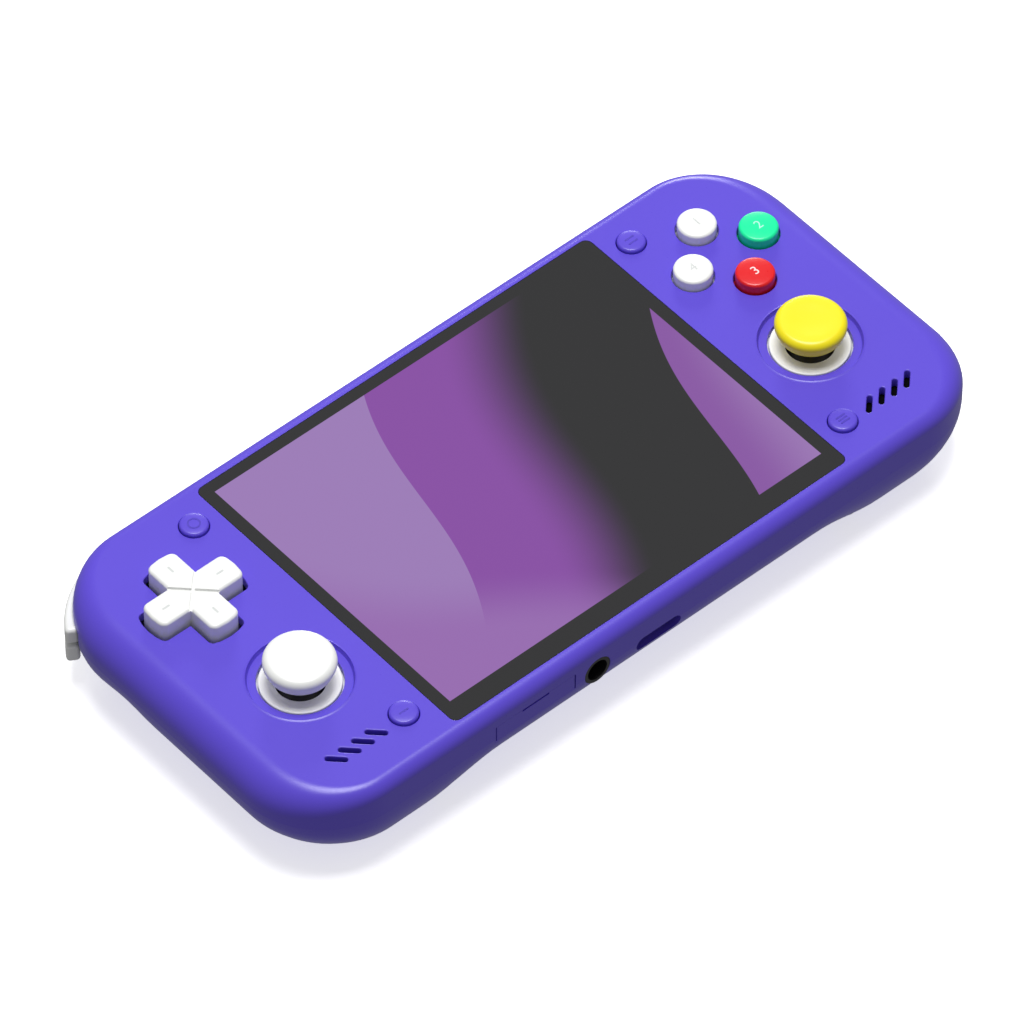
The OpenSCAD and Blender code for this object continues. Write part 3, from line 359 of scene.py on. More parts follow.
def start_ring(half_l, half_w, corner, z):
    """A ring of edges round a rectangle with round corners, in edit mode and selected, with its straights cut fine."""
    piece = plate((-half_l, -half_w, z - 1), (half_l, half_w, z), corner, 20)
    pick(piece, "FACE", lambda ps: True)
    bpy.ops.mesh.delete(type="ONLY_FACE")
    bpy.ops.object.mode_set(mode="OBJECT")
    pick(piece, "VERT", lambda ps: ps[0].z < (z - 0.5) * MM)
    bpy.ops.mesh.delete(type="VERT")
    for longest, cuts in ((60, 47), (20, 15)):
        bpy.ops.object.mode_set(mode="OBJECT")
        pick(piece, "EDGE", lambda ps: (ps[0] - ps[1]).length > longest * MM)
        bpy.ops.mesh.subdivide(number_cuts=cuts)
    bpy.ops.mesh.select_all(action="SELECT")
    return piece


def extrude_ring(piece, move):
    """Extrudes the selected ring of edges and puts each new point where move says, in mm."""
    bpy.ops.mesh.extrude_edges_move()
    bpy.ops.object.mode_set(mode="OBJECT")
    for point in piece.data.vertices:
        if point.select:
            point.co = [v * MM for v in move(point.co.x / MM, point.co.y / MM)]
    bpy.ops.object.mode_set(mode="EDIT")


def close_shape(piece, *heights):
    """Merges doubles, fills the ring of edges at each height and turns all faces outwards."""
    bpy.ops.mesh.select_all(action="SELECT")
    bpy.ops.mesh.remove_doubles(threshold=0.01 * MM)
    for z in heights:
        bpy.ops.object.mode_set(mode="OBJECT")
        pick(piece, "EDGE", lambda ps: all(abs(p.z / MM - z) < 0.001 for p in ps))
        bpy.ops.mesh.edge_face_add()
    bpy.ops.mesh.select_all(action="SELECT")
    bpy.ops.mesh.normals_make_consistent(inside=False)
    bpy.ops.object.mode_set(mode="OBJECT")


print("half way up an ease:", ease(0, 1, 0.5))

# %% [markdown]
# ## Front shell
#
# The front of the case is one moulding: a shallow tray with round corners and a hole for each control. Its front
# edge is rolled: tightly along the two long sides, and more generously round the ends, where the palms lie. A bevel
# has one width all along, so the tray is drawn up from a ring of edges instead: each new ring moves in and up, by
# more at the ends. The hollow is cut from below in two steps, then come the openings, with a low lip round the dish of
# each stick, and last a tiny round on each rim, because no moulded edge is perfectly sharp.

# %% Tray of the front shell
CORNER = 14.4
WALL = 1.6
ROLL, END_ROLL, ROLL_STEPS = 2.2, 5, 12
face = FACE_Z / MM
low, high = ([v / MM for v in corner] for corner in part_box("front_shell"))
seam = low[2]


def outward(x, y):
    """Unit direction that the outline of the case faces at a place near its edge."""
    dx, dy = max(abs(x) - (high[0] - CORNER), 0), max(abs(y) - (high[1] - CORNER), 0)
    size = math.hypot(dx, dy) or 1
    return math.copysign(dx / size, x), math.copysign(dy / size, y)


case_front = start_ring(high[0], high[1], CORNER, seam)
before = 0
for i in range(ROLL_STEPS + 1):
    after = math.pi / 2 * i / ROLL_STEPS

    def roll_over(x, y, inset=math.cos(before) - math.cos(after), fall=1 - math.sin(after)):
        nx, ny = outward(x, y)
        radius = ROLL + (END_ROLL - ROLL) * ease(0, 1, math.asin(min(abs(nx), 1)) / (math.pi / 2))
        return x - nx * radius * inset, y - ny * radius * inset, face - radius * fall

    extrude_ring(case_front, roll_over)
    before = after
close_shape(case_front, face, seam)
for thickness, rise in ((WALL, 2), (1, face - WALL - seam - 2)):
    pick(case_front, "FACE", lambda ps: len(ps) > 40 and all(p.z < FACE_Z - 0.01 * MM for p in ps))
    bpy.ops.mesh.inset(thickness=thickness * MM)
    bpy.ops.mesh.extrude_region_move(TRANSFORM_OT_translate={"value": (0, 0, rise * MM)})
    bpy.ops.object.mode_set(mode="OBJECT")
print("tray", [round(b - a, 1) for a, b in zip(low, high)])

# %% Screen and control openings
LEDGE = 0.85
DPAD_SPAN, DPAD_ARM, DPAD_GAP = 15.5, 5.1, 0.55
BUTTON_R, MENU_R, KEY_GAP, MENU_GAP = 2.95, 2.15, 0.25, 0.12
STICK_HOLE, DISH_R, DISH_D = 6.3, 7.8, 0.5
# The lip round each stick's dish, from the dish's edge and the face: it is 0.15 mm high and falls off outwards.
DISH_LIP = [(-0.03, -0.25), (0.45, -0.25), (0.45, -0.03), (0.1, 0.14), (0.03, 0.15), (-0.03, 0.11)]
FACE_BUTTONS = ["face_button_top", "face_button_right", "face_button_bottom", "face_button_left"]
MENU_BUTTONS = ["menu_button_upper_left", "menu_button_upper_right", "menu_button_lower_left",
                "menu_button_lower_right"]
SIDES = ["left", "right"]
under, over = face - WALL - 1, face + 1


def pad_cross(centre, span, arm, low, high, corner):
    """A cross with round arm ends, as the direction pad and its opening have it."""
    x, y = centre[:2]
    cross = block((x - span / 2, y - arm / 2, low), (x + span / 2, y + arm / 2, high))
    combine(cross, block((x - arm / 2, y - span / 2, low), (x + arm / 2, y + span / 2, high)), "UNION")
    combine(cross, peg(centre, span / 2, low - 1, high + 1, 32), "INTERSECT")
    if corner:
        far = 0.3 * span
        round_edges(cross, corner, 5, lambda ps: upright(ps) and math.hypot(
            ps[0].x / MM - x, ps[0].y / MM - y) > far and min(abs(abs(ps[0].x / MM - x) - arm / 2),
            abs(abs(ps[0].y / MM - y) - arm / 2)) < 0.01)
    return cross


glass_low, glass_high = ([v / MM for v in corner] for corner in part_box("screen_glass"))
GLASS_R, GLASS_GAP = 1.2, 0.05
combine(case_front, plate((glass_low[0] - GLASS_GAP, glass_low[1] - GLASS_GAP, glass_low[2] - 0.15),
                          (glass_high[0] + GLASS_GAP, glass_high[1] + GLASS_GAP, over), GLASS_R, 8))
combine(case_front, plate((glass_low[0] + LEDGE, glass_low[1] + LEDGE, under),
                          (glass_high[0] - LEDGE, glass_high[1] - LEDGE, over), GLASS_R, 8))
combine(case_front, pad_cross(middle("dpad"), DPAD_SPAN + 2 * DPAD_GAP, DPAD_ARM + 2 * DPAD_GAP, under, over, 0.6))
for button in FACE_BUTTONS:
    combine(case_front, peg(middle(button), BUTTON_R + KEY_GAP, under, over))
for button in MENU_BUTTONS:
    combine(case_front, peg(middle(button), MENU_R + MENU_GAP, under, over))
for side in SIDES:
    at = middle(side + "_stick_ring")
    dish = [(0, under), (STICK_HOLE, under), (STICK_HOLE, face - DISH_D), (DISH_R - 0.3, face - DISH_D)]
    combine(case_front, lathe(at, dish + [(DISH_R + 0.06, face + 0.1), (DISH_R + 0.06, over), (0, over)], 128))
    lip = [(DISH_R + x, face + z) for x, z in DISH_LIP]
    combine(case_front, lathe(at, lip + lip[:1], 128), "UNION")
print("front shell has", len(case_front.data.polygons), "faces after the controls")

# %% Speaker slots
SLOT_L, SLOT_W, SLOT_PITCH, SLOT_COUNT = 3.3, 0.85, 2.45, 4
SLOTS_X, SLOTS_Y = high[0] - 15.35, low[1] + 8.25
for sign in (-1, 1):
    for i in range(SLOT_COUNT):
        x = sign * SLOTS_X + (i - (SLOT_COUNT - 1) / 2) * SLOT_PITCH
        slot = plate((x - SLOT_L / 2, SLOTS_Y - SLOT_W / 2, under), (x + SLOT_L / 2, SLOTS_Y + SLOT_W / 2, over),
                     SLOT_W / 2 - 0.01, 6)
        pick(slot, "VERT", lambda ps: True)
        bpy.ops.mesh.remove_doubles(threshold=0.05 * MM)
        bpy.ops.object.mode_set(mode="OBJECT")
        combine(case_front, swing(slot, sign * 45, "Z", (x, SLOTS_Y, 0)))
print("slots", 2 * SLOT_COUNT)

# %% [markdown]
# ## Rear shell
#
# The back is a shallow bowl. Its sides roll under, and both ends swell to grips with a dip across them for the
# middle finger. It is built as a ring of edges that is extruded again and again: each new ring moves in and down,
# first round the roll and then across the flat, until both sides meet on the middle line. The hollow is made by the
# same steps, one wall thickness inside.

# %% Bowl form
ROLL_IN, END_IN, MID_DEPTH, GRIP_DEPTH = 8, 16, 13, 16.5
GRIP_START, GRIP_FULL = 30, 43
DIP_Y, DIP_HALF, DIP_SHARE = 10.5, 6, 0.55
ROLL_RINGS, FLAT_RINGS = 12, 9


def grip_swell(x, y):
    """Share of the full grip depth at a place on the back."""
    dip = DIP_SHARE * (1 - ease(0, DIP_HALF, abs(y - DIP_Y)))
    return ease(GRIP_START, GRIP_FULL, abs(x)) * (1 - dip)


def reshape(x, y, old, new):
    """Carries a point from one round-cornered outline to another: each is half length, half width and corner."""
    across, along = abs(x) - (old[0] - old[2]), abs(y) - (old[1] - old[2])
    if across > 0 and along > 0:
        size = math.hypot(across, along)
        across, along = new[0] - new[2] * (1 - across / size), new[1] - new[2] * (1 - along / size)
    elif along > 0:
        across, along = abs(x) / (old[0] - old[2]) * (new[0] - new[2]), new[1]
    else:
        across, along = new[0], abs(y) / (old[1] - old[2]) * (new[1] - new[2])
    return math.copysign(across, x), math.copysign(along, y)


def bowl(inset):
    """Closed solid of the back, set in from the outer skin."""
    outlines = [(high[0] - inset, high[1] - inset, CORNER - inset, 0)]
    for i in range(1, ROLL_RINGS + 1):
        angle = math.pi / 2 * i / ROLL_RINGS
        reach = (ROLL_IN - inset) * (1 - math.cos(angle))
        outlines.append((high[0] - inset - reach * END_IN / ROLL_IN, high[1] - inset - reach,
                         CORNER - inset - reach, math.sin(angle)))
    length, width, corner, _ = outlines[-1]
    for i in range(1, FLAT_RINGS + 1):
        left = 1 - i / FLAT_RINGS
        outlines.append((length - 0.8 * width * (1 - left), width * left, corner * left, 1))
    piece = start_ring(*outlines[0][:3], seam)
    for old, new in zip(outlines, outlines[1:]):

        def draw_in(x, y, old=old, new=new):
            x, y = reshape(x, y, old, new)
            full = MID_DEPTH - (face - seam) - inset + (GRIP_DEPTH - MID_DEPTH) * grip_swell(x, y)
            return x, y, seam - new[3] * full

        extrude_ring(piece, draw_in)
    close_shape(piece, seam)
    return piece


case_back = bowl(0)
print("bowl has", len(case_back.data.polygons), "faces")

# %% Hollow, posts and screw holes
POST_R, HEAD_R = 2.35, 1.55
BOARD_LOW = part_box("main_board")[0].z / MM
HEAD_Z = face - MID_DEPTH + WALL
POSTS = [(s * x, y) for s in (-1, 1)
         for x, y in ((high[0] - 6.35, middle("left_stick_ring")[1]), (glass_high[0] + 1.15, high[1] - 3.7),
                      (glass_high[0] + 1.15, low[1] + 3.7))]
hollow = bowl(WALL)
pick(hollow, "FACE", lambda ps: all(p.z > (seam - 0.001) * MM for p in ps))
bpy.ops.mesh.extrude_region_move(TRANSFORM_OT_translate={"value": (0, 0, 1 * MM)})
bpy.ops.object.mode_set(mode="OBJECT")
for post in POSTS:
    combine(hollow, peg(post, POST_R, -1, BOARD_LOW - 0.05, 48))
combine(case_back, hollow)
for post in POSTS:
    combine(case_back, peg(post, HEAD_R, -1, HEAD_Z, 48))
print("rear shell has", len(case_back.data.polygons), "faces and", len(POSTS), "screw posts")

# %% [markdown]
# ## Openings in the side walls
#
# Both shells share the openings at the edge: a notch at each upper corner for the shoulder keys, the holes for the
# headphone jack, the charging port and the memory card's cover, and those for the keys on the top edge. So each
# tool is made twice, once for each shell.

# %% Cut the walls
SKIN_R, SKIN_T, KEY_START, KEY_END = 17, 2.1, 72, 149
KEY_FROM_END, KEY_PROUD = 14.55, 0.7
NOTCH_GAP = 0.2
JACK_HOLE = 2.4
PORT_L, PORT_H = 8.4, 2.6
COVER_GAP, COVER_SLIT = 0.18, 0.03
RIM_OUT = 2


def curved_bar(sign, inner, outer, low_z, high_z, start, end):
    """A bar that follows a shoulder key's curve between two radii, heights and angles, spun on the given side."""
    bpy.ops.object.select_all(action="DESELECT")
    bpy.ops.mesh.primitive_plane_add(size=1, location=(0, 0, 0))
    piece = bpy.context.object
    piece.scale = ((outer - inner) * MM, (high_z - low_z) * MM, 1)
    piece.rotation_euler = (math.pi / 2, 0, 0)
    piece.location = ((inner + outer) / 2 * MM, 0, (low_z + high_z) / 2 * MM)
    bpy.ops.object.transform_apply(location=True, rotation=True, scale=True)
    swing(piece, start, "Z", (0, 0, 0))
    bpy.ops.object.mode_set(mode="EDIT")
    bpy.ops.mesh.select_all(action="SELECT")
    bpy.ops.mesh.spin(steps=16, angle=math.radians(end - start), center=(0, 0, 0), axis=(0, 0, -1))
    bpy.ops.object.mode_set(mode="OBJECT")
    piece.scale.x = -sign
    piece.location = (sign * (high[0] - KEY_FROM_END) * MM, (high[1] + KEY_PROUD - SKIN_R) * MM, 0)
    bpy.ops.object.transform_apply(location=True, rotation=True, scale=True)
    pick(piece, "FACE", lambda ps: True)
    bpy.ops.mesh.remove_doubles(threshold=0.002 * MM)
    bpy.ops.mesh.normals_make_consistent(inside=False)
    bpy.ops.object.mode_set(mode="OBJECT")
    return piece


def notch(sign, node, swing_in, swing_past):
    """Room for a shoulder key: its own curve, with space to swing in and past its free end."""
    key_low, key_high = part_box(node)[0].z / MM, top(node)
    return curved_bar(sign, SKIN_R - SKIN_T - swing_in - NOTCH_GAP, SKIN_R + RIM_OUT,
                      key_low - 0.3, key_high + NOTCH_GAP, KEY_START - 3, KEY_END + swing_past)


def through_wall(node, grow_x, grow_z, edge_y):
    """A block through the wall round a node, with the clearance given along X and Z."""
    node_low, node_high = ([v / MM for v in corner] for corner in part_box(node))
    return block((node_low[0] - grow_x, edge_y - RIM_OUT, node_low[2] - grow_z),
                 (node_high[0] + grow_x, edge_y + RIM_OUT, node_high[2] + grow_z))


def on_bottom_edge(tool, x, z):
    """Lays an upright tool on its side and puts it through the bottom edge."""
    swing(tool, 90, "X", (x, 0, 0))
    tool.location = (0, low[1] * MM, z * MM)
    bpy.ops.object.transform_apply(location=True, rotation=True, scale=True)
    return tool


def port_slot():
    x, _, z = middle("usb_port")
    slot = plate((x - PORT_L / 2, -PORT_H / 2, -RIM_OUT), (x + PORT_L / 2, PORT_H / 2, RIM_OUT), PORT_H / 2 - 0.01, 8)
    return on_bottom_edge(slot, x, z)


def jack_hole():
    x, _, z = middle("headphone_jack")
    return on_bottom_edge(peg((x, 0), JACK_HOLE, -RIM_OUT, RIM_OUT), x, z)


PIN_OUT, FLANGE_OUT = 0.6, 0.5
for shell in (case_front, case_back):
    for sign in (-1, 1):
        combine(shell, notch(sign, "left_bumper", 2, 3.6))
        combine(shell, notch(sign, "left_trigger", 2.4, 5.2))
    combine(shell, jack_hole())
    combine(shell, port_slot())
    combine(shell, through_wall("card_cover", COVER_GAP - PIN_OUT, COVER_SLIT, low[1]))
    for key in ("power_key", "volume_rocker"):
        combine(shell, through_wall(key, NOTCH_GAP - FLANGE_OUT, NOTCH_GAP, high[1]))
print("walls cut;", len(case_front.data.polygons), "and", len(case_back.data.polygons), "faces")

# %% Soften the rims and settle both shells
RIM, GLASS_RIM_R = 0.18, 0.05


def pick_rims(piece, test):
    """Selects sharp edges that pass the test."""
    activate(piece)
    bpy.ops.object.mode_set(mode="EDIT")
    bpy.ops.mesh.select_mode(type="EDGE")
    bpy.ops.mesh.select_all(action="DESELECT")
    bpy.ops.mesh.edges_select_sharp(sharpness=math.radians(30))
    bpy.ops.object.mode_set(mode="OBJECT")
    mesh = piece.data
    kept = [e for e in mesh.edges if e.select and test([mesh.vertices[i].co for i in e.vertices])]
    for items in (mesh.vertices, mesh.edges, mesh.polygons):
        items.foreach_set("select", [False] * len(items))
    for edge in kept:
        edge.select = True
    bpy.ops.object.mode_set(mode="EDIT")
    return len(kept)


def on_face(points):
    return all(abs(p.z - FACE_Z) < 0.005 * MM for p in points)


def beside_glass(points):
    return all(abs(p.x) < (glass_high[0] + 0.2) * MM and abs(p.y) < (glass_high[1] + 0.2) * MM for p in points)


rims = pick_rims(case_front, lambda ps: on_face(ps) and not beside_glass(ps))
bpy.ops.mesh.bevel(offset=RIM * MM, segments=3, affect="EDGES", clamp_overlap=False)
bpy.ops.object.mode_set(mode="OBJECT")
glass_rims = pick_rims(case_front, lambda ps: on_face(ps) and beside_glass(ps))
bpy.ops.mesh.bevel(offset=GLASS_RIM_R * MM, segments=2, affect="EDGES", clamp_overlap=False)
bpy.ops.object.mode_set(mode="OBJECT")
print("softened", rims, "edges of the controls and", glass_rims, "of the glass")
settle(case_front, "case_front", "case", case_abs, ["front_shell"])
settle(case_back, "case_back", "case", case_abs, ["rear_shell"])

# %% [markdown]
# ## Screen
#
# A sheet of cover glass lies flush in the face. Behind it the panel shows a picture, and a printed black border
# hides the panel's edge. Glass over a lit panel is costly to trace and gives only a little more than this: one plate
# whose shader glows with the picture under a clear, polished surface. The picture is a plain design of soft bands.

# %% Screen picture and glass
# The lit area in mm: lowest X and Y, then highest X and Y.
LIT = (-35.25, -25.05, 35.1, 26.5)
SCREEN_GLOW = 0.85
glass_finish, tree, shader, coords = new_finish("cover glass over a lit panel")
split = add_node(tree, "ShaderNodeSeparateXYZ", {"Vector": coords})


def band(tree, value, low, high, soft):
    """1 between two distances in mm, with soft ends."""
    rise = add_node(tree, "ShaderNodeMapRange", {
        "Value": value, "From Min": (low - soft) * MM, "From Max": (low + soft) * MM}, interpolation_type="SMOOTHSTEP")
    fall = add_node(tree, "ShaderNodeMapRange", {
        "Value": value, "From Min": (high - soft) * MM, "From Max": (high + soft) * MM, "To Min": 1.0, "To Max": 0.0},
        interpolation_type="SMOOTHSTEP")
    both = add_node(tree, "ShaderNodeMath", {0: rise.outputs["Result"], 1: fall.outputs["Result"]},
                    operation="MULTIPLY")
    return both.outputs["Value"]


def slant(tree, angle, bend):
    """Distance across the bands, which lean by an angle and sway by the given mm."""
    turned = add_node(tree, "ShaderNodeMapping", {"Vector": coords, "Rotation": (0, 0, math.radians(angle))})
    parts = add_node(tree, "ShaderNodeSeparateXYZ", {"Vector": turned.outputs["Vector"]})
    phase = add_node(tree, "ShaderNodeMath", {0: parts.outputs["Y"], 1: 1 / (11 * MM)}, operation="MULTIPLY")
    wave = add_node(tree, "ShaderNodeMath", {0: phase.outputs["Value"]}, operation="SINE")
    sway = add_node(tree, "ShaderNodeMath", {0: wave.outputs["Value"], 1: bend * MM, 2: parts.outputs["X"]},
                    operation="MULTIPLY_ADD")
    return sway.outputs["Value"]


first, second = slant(tree, 24, 2.5), slant(tree, -38, 3.5)
layers = [
    (band(tree, first, -60, 4, 7), "#8942A8"),
    (band(tree, first, -60, -15, 0.05), "#A07BBE"),
    (band(tree, second, -50, -24, 6), "#9A68B6"),
    (band(tree, first, 29, 60, 0.05), "#8A4FA8"),
    (band(tree, first, 36, 60, 6), "#A078BC"),
]
picture = linear("#000000")
for mask, colour in layers:
    mix = add_node(tree, "ShaderNodeMix", {"Factor": mask}, data_type="RGBA")
    mix.inputs["B"].default_value = linear(colour)
    if isinstance(picture, list):
        mix.inputs["A"].default_value = picture
    else:
        tree.links.new(picture, mix.inputs["A"])
    picture = mix.outputs["Result"]
inside_x = band(tree, split.outputs["X"], LIT[0], LIT[2], 0.02)
inside_y = band(tree, split.outputs["Y"], LIT[1], LIT[3], 0.02)
window = add_node(tree, "ShaderNodeMath", {0: inside_x, 1: inside_y}, operation="MULTIPLY")
shown = add_node(tree, "ShaderNodeMix", {"Factor": window.outputs["Value"]}, data_type="RGBA")
shown.inputs["A"].default_value = linear("#000000")
tree.links.new(picture, shown.inputs["B"])
tree.links.new(shown.outputs["Result"], shader.inputs["Emission Color"])
shader.inputs["Emission Strength"].default_value = SCREEN_GLOW
shader.inputs["Base Color"].default_value = linear("#2C2C2D")
shader.inputs["IOR"].default_value = 1.51
smear = add_node(tree, "ShaderNodeTexNoise", {"Vector": coords, "Scale": 1 / (22 * MM), "Detail": 2})
polish = add_node(tree, "ShaderNodeMapRange", {"Value": smear.outputs["Fac"], "To Min": 0.04, "To Max": 0.12})
tree.links.new(polish.outputs["Result"], shader.inputs["Roughness"])

glass = plate(glass_low, glass_high, GLASS_R, 8)
round_edges(glass, 0.06, 1, lambda ps: all(p.z > (glass_high[2] - 0.001) * MM for p in ps))
settle(glass, "cover_glass", "case", glass_finish, ["screen_glass"])

# %% [markdown]
# ## Direction pad
#
# The pad is one white cross on a pivot. Its arms have round ends and soft edges, and grooves along the diagonals
# part them, so that the thumb feels four keys. The cross comes from two blocks and a cylinder, a thin bar cuts each
# groove, and a printed dash marks each arm.

# %% Model the direction pad
pad_at, pad_top = middle("dpad"), top("dpad")
pad = pad_cross(pad_at, DPAD_SPAN, DPAD_ARM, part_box("dpad")[0].z / MM, pad_top, 0.8)
round_edges(pad, 0.5, 5, lambda ps: all(p.z > (pad_top - 0.001) * MM for p in ps))
GROOVE, GROOVE_D = 0.5, 0.4
DASH_FROM, DASH_TO, DASH_W = 4.3, 5.6, 0.32
for lean in (45, 135):
    bar = block((pad_at[0] - 8, pad_at[1] - GROOVE / 2, pad_top - GROOVE_D),
                (pad_at[0] + 8, pad_at[1] + GROOVE / 2, pad_top + 1))
    combine(pad, swing(bar, lean, "Z", (pad_at[0], pad_at[1], pad_top)))
pad.data.materials.append(white_abs)
for quarter in range(4):
    dash = plate((pad_at[0] + DASH_FROM, pad_at[1] - DASH_W / 2, pad_top - 0.1),
                 (pad_at[0] + DASH_TO, pad_at[1] + DASH_W / 2, pad_top + 0.01), 0.15, 4)
    dash.data.materials.append(grey_print)
    join(pad, swing(dash, 90 * quarter, "Z", (pad_at[0], pad_at[1], 0)))
settle(pad, "direction_pad", "dpad", white_abs, ["dpad"], 30)

# %% [markdown]
# ## Round keys
#
# Face buttons and menu buttons are turned parts with a soft rim and a faint crown. Each has a flange under the face
# that keeps it in. The face buttons carry plain numbers as pad printing, which is a thin layer of ink: a text object
# is made a mesh and sunk into the crown, so that only a hair of it stands out.

# %% Turn the face buttons


def key_section(radius, flange_r, flange_low, flange_high, key_top, rim, crown):
    """Half section of a round key with a flange, a rounded rim and a crown."""
    edge = key_top - crown
    return ([(0, flange_low), (flange_r, flange_low), (flange_r, flange_high), (radius, flange_high)]
            + arc(radius - rim, edge - rim, rim, 0, 84)
            + [(radius * share, key_top - crown * share ** 2) for share in (0.6, 0.4, 0.2)] + [(0, key_top)])


def number(text, centre, height, size, finish):
    """A printed number whose ink stands a hair above a surface."""
    bpy.ops.object.select_all(action="DESELECT")
    bpy.ops.object.text_add(location=(0, 0, 0))
    ink = bpy.context.object
    ink.data.body = text
    ink.data.size = size * MM
    ink.data.align_x, ink.data.align_y = "CENTER", "CENTER"
    ink.data.extrude = 0.1 * MM
    bpy.ops.object.convert(target="MESH")
    ink = bpy.context.object
    ink.location = (centre[0] * MM, centre[1] * MM, (height - 0.08) * MM)
    bpy.ops.object.transform_apply(location=True, rotation=True, scale=True)
    ink.data.materials.clear()
    ink.data.materials.append(finish)
    return ink


BUTTON_FLANGE = 0.95
CEILING = face - WALL
looks = zip(FACE_BUTTONS, ("1", "2", "3", "4"), (white_abs, green_abs, red_abs, white_abs),
            (grey_print, mint_print, pale_print, grey_print),
            ("white_plastic", "green_plastic", "red_plastic", "white_plastic"))
for node, text, finish, print_finish, slot_name in looks:
    at, low_z = middle(node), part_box(node)[0].z / MM
    key = lathe(at, key_section(BUTTON_R, BUTTON_R + BUTTON_FLANGE, low_z, CEILING - 0.2, top(node), 0.45, 0.12))
    key.data.materials.append(finish)
    join(key, number(text, at, top(node), 2.2, print_finish))
    settle(key, node.replace("face_button", "face_key"), node, finish, [node])

# %% Turn the menu buttons
MENU_FLANGE = 0.5


def ring_mark(at, height):
    return lathe(at, [(0.75, height - 0.1), (0.75, height + 0.03), (1, height + 0.03), (1, height - 0.1),
                      (0.75, height - 0.1)], 32)


def bar_mark(at, height, rows):
    mark = None
    for row in rows:
        bar = plate((at[0] - 0.85, at[1] + row - 0.14, height - 0.1),
                    (at[0] + 0.85, at[1] + row + 0.14, height + 0.03), 0.13, 3)
        mark = join(mark, bar) if mark else bar
    return mark


for node in MENU_BUTTONS:
    at, low_z, high_z = middle(node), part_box(node)[0].z / MM, top(node)
    key = lathe(at, key_section(MENU_R, MENU_R + MENU_FLANGE, low_z, CEILING - 0.2, high_z, 0.4, 0.08), 64)
    key.data.materials.append(case_abs)
    rows = {"upper_left": None, "upper_right": (-0.45, 0.45), "lower_left": (0,), "lower_right": (-0.55, 0, 0.55)}
    rows = rows[node.replace("menu_button_", "")]
    mark = bar_mark(at, high_z, rows) if rows else ring_mark(at, high_z)
    mark.data.materials.clear()
    mark.data.materials.append(mark_print)
    join(key, mark)
    settle(key, node.replace("menu_button", "menu_key"), node, case_abs, [node])

# %% [markdown]
# ## Thumb sticks
#
# A thumb cap is a squat mushroom: a dished top with a soft rim, a side that tapers in, and an underside that draws
# in to the neck. It sits on a dark shaft with a dust dome, in a white trim ring that fills the hole in the face. The
# caps and rings are turned parts, so the lathe makes them from half sections. Each cap has its own colour.

# %% Turn the caps and rings
CAP_R, CAP_EDGE, CAP_DISH, CAP_TAPER, NECK_R = 5.35, 1.1, 0.2, 22, 1.75
FOOT_R, FOOT_IN, FOOT_UP, FOOT_EDGE = 3.4, 1.03, 0.77, 0.5
RING_HOLE, RING_R, RING_FLANGE, RING_EDGE = 3.7, 6, 7.2, 0.2
for side, finish, slot_name in zip(SIDES, (white_abs, yellow_abs), ("white_plastic", "yellow_plastic")):
    node = side + "_stick_cap"
    at, cap_low, cap_top = middle(node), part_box(node)[0].z / MM, top(node)
    rounding = arc(CAP_R - FOOT_IN, cap_low + FOOT_UP, FOOT_EDGE, -60, -CAP_TAPER, 4)
    rounding += arc(CAP_R - CAP_EDGE, cap_top - CAP_EDGE, CAP_EDGE, -CAP_TAPER, 82, 13)
    dish = [(CAP_R * share, cap_top - CAP_DISH * (1 - (share / 0.7) ** 2)) for share in (0.6, 0.45, 0.3, 0.15, 0)]
    cap = lathe(at, [(0, cap_low + 0.05), (NECK_R, cap_low), (FOOT_R, cap_low)] + rounding + dish, 128)
    settle(cap, side + "_thumb_cap", side + "_stick", finish, [node])
    node = side + "_stick_ring"
    ring_low, ring_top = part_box(node)[0].z / MM, top(node)
    section = [(RING_HOLE + 0.8, ring_low), (RING_FLANGE, ring_low), (RING_FLANGE, CEILING - 0.2),
               (RING_R, CEILING - 0.2)]
    section += arc(RING_R - RING_EDGE, ring_top - RING_EDGE, RING_EDGE, 0, 90, 4)
    section += arc(RING_HOLE + RING_EDGE, ring_top - RING_EDGE, RING_EDGE, 90, 180, 5)
    ring = lathe(at, section + [(RING_HOLE, ring_low + 0.9), (RING_HOLE + 0.8, ring_low)], 128)
    # Its brighter white is painted light against the shade under the cap.
    settle(ring, side + "_trim_ring", "case", ring_painted_white, [node])

# %% [markdown]
# ## Shoulder keys
#
# Each upper corner carries a bumper over a trigger. Both are curved shells that follow the corner and swing on a
# pin. The section is a small rectangle that is spun about the centre of the corner's curve, then every edge is
# rounded.

# %% Spin the shoulder keys
KEY_ROUND = 0.6
for side, sign in zip(SIDES, (-1, 1)):
    for kind in ("bumper", "trigger"):
        node = f"{side}_{kind}"
        key = curved_bar(sign, SKIN_R - SKIN_T, SKIN_R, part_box(node)[0].z / MM, top(node), KEY_START, KEY_END)
        pick_rims(key, lambda ps: True)
        bpy.ops.mesh.bevel(offset=KEY_ROUND * MM, segments=4, affect="EDGES", clamp_overlap=False)
        bpy.ops.object.mode_set(mode="OBJECT")
        settle(key, node + "_key", node, white_abs, [node])

# %% [markdown]
# ## Edge keys and card cover
#
# The power key and the volume rocker stand a little out of the top edge, and a hinged cover closes the memory card
# slot in the bottom edge. They are moulded in the case's own plastic. The rocker dips at its middle, so that a thumb
# finds its two ends.

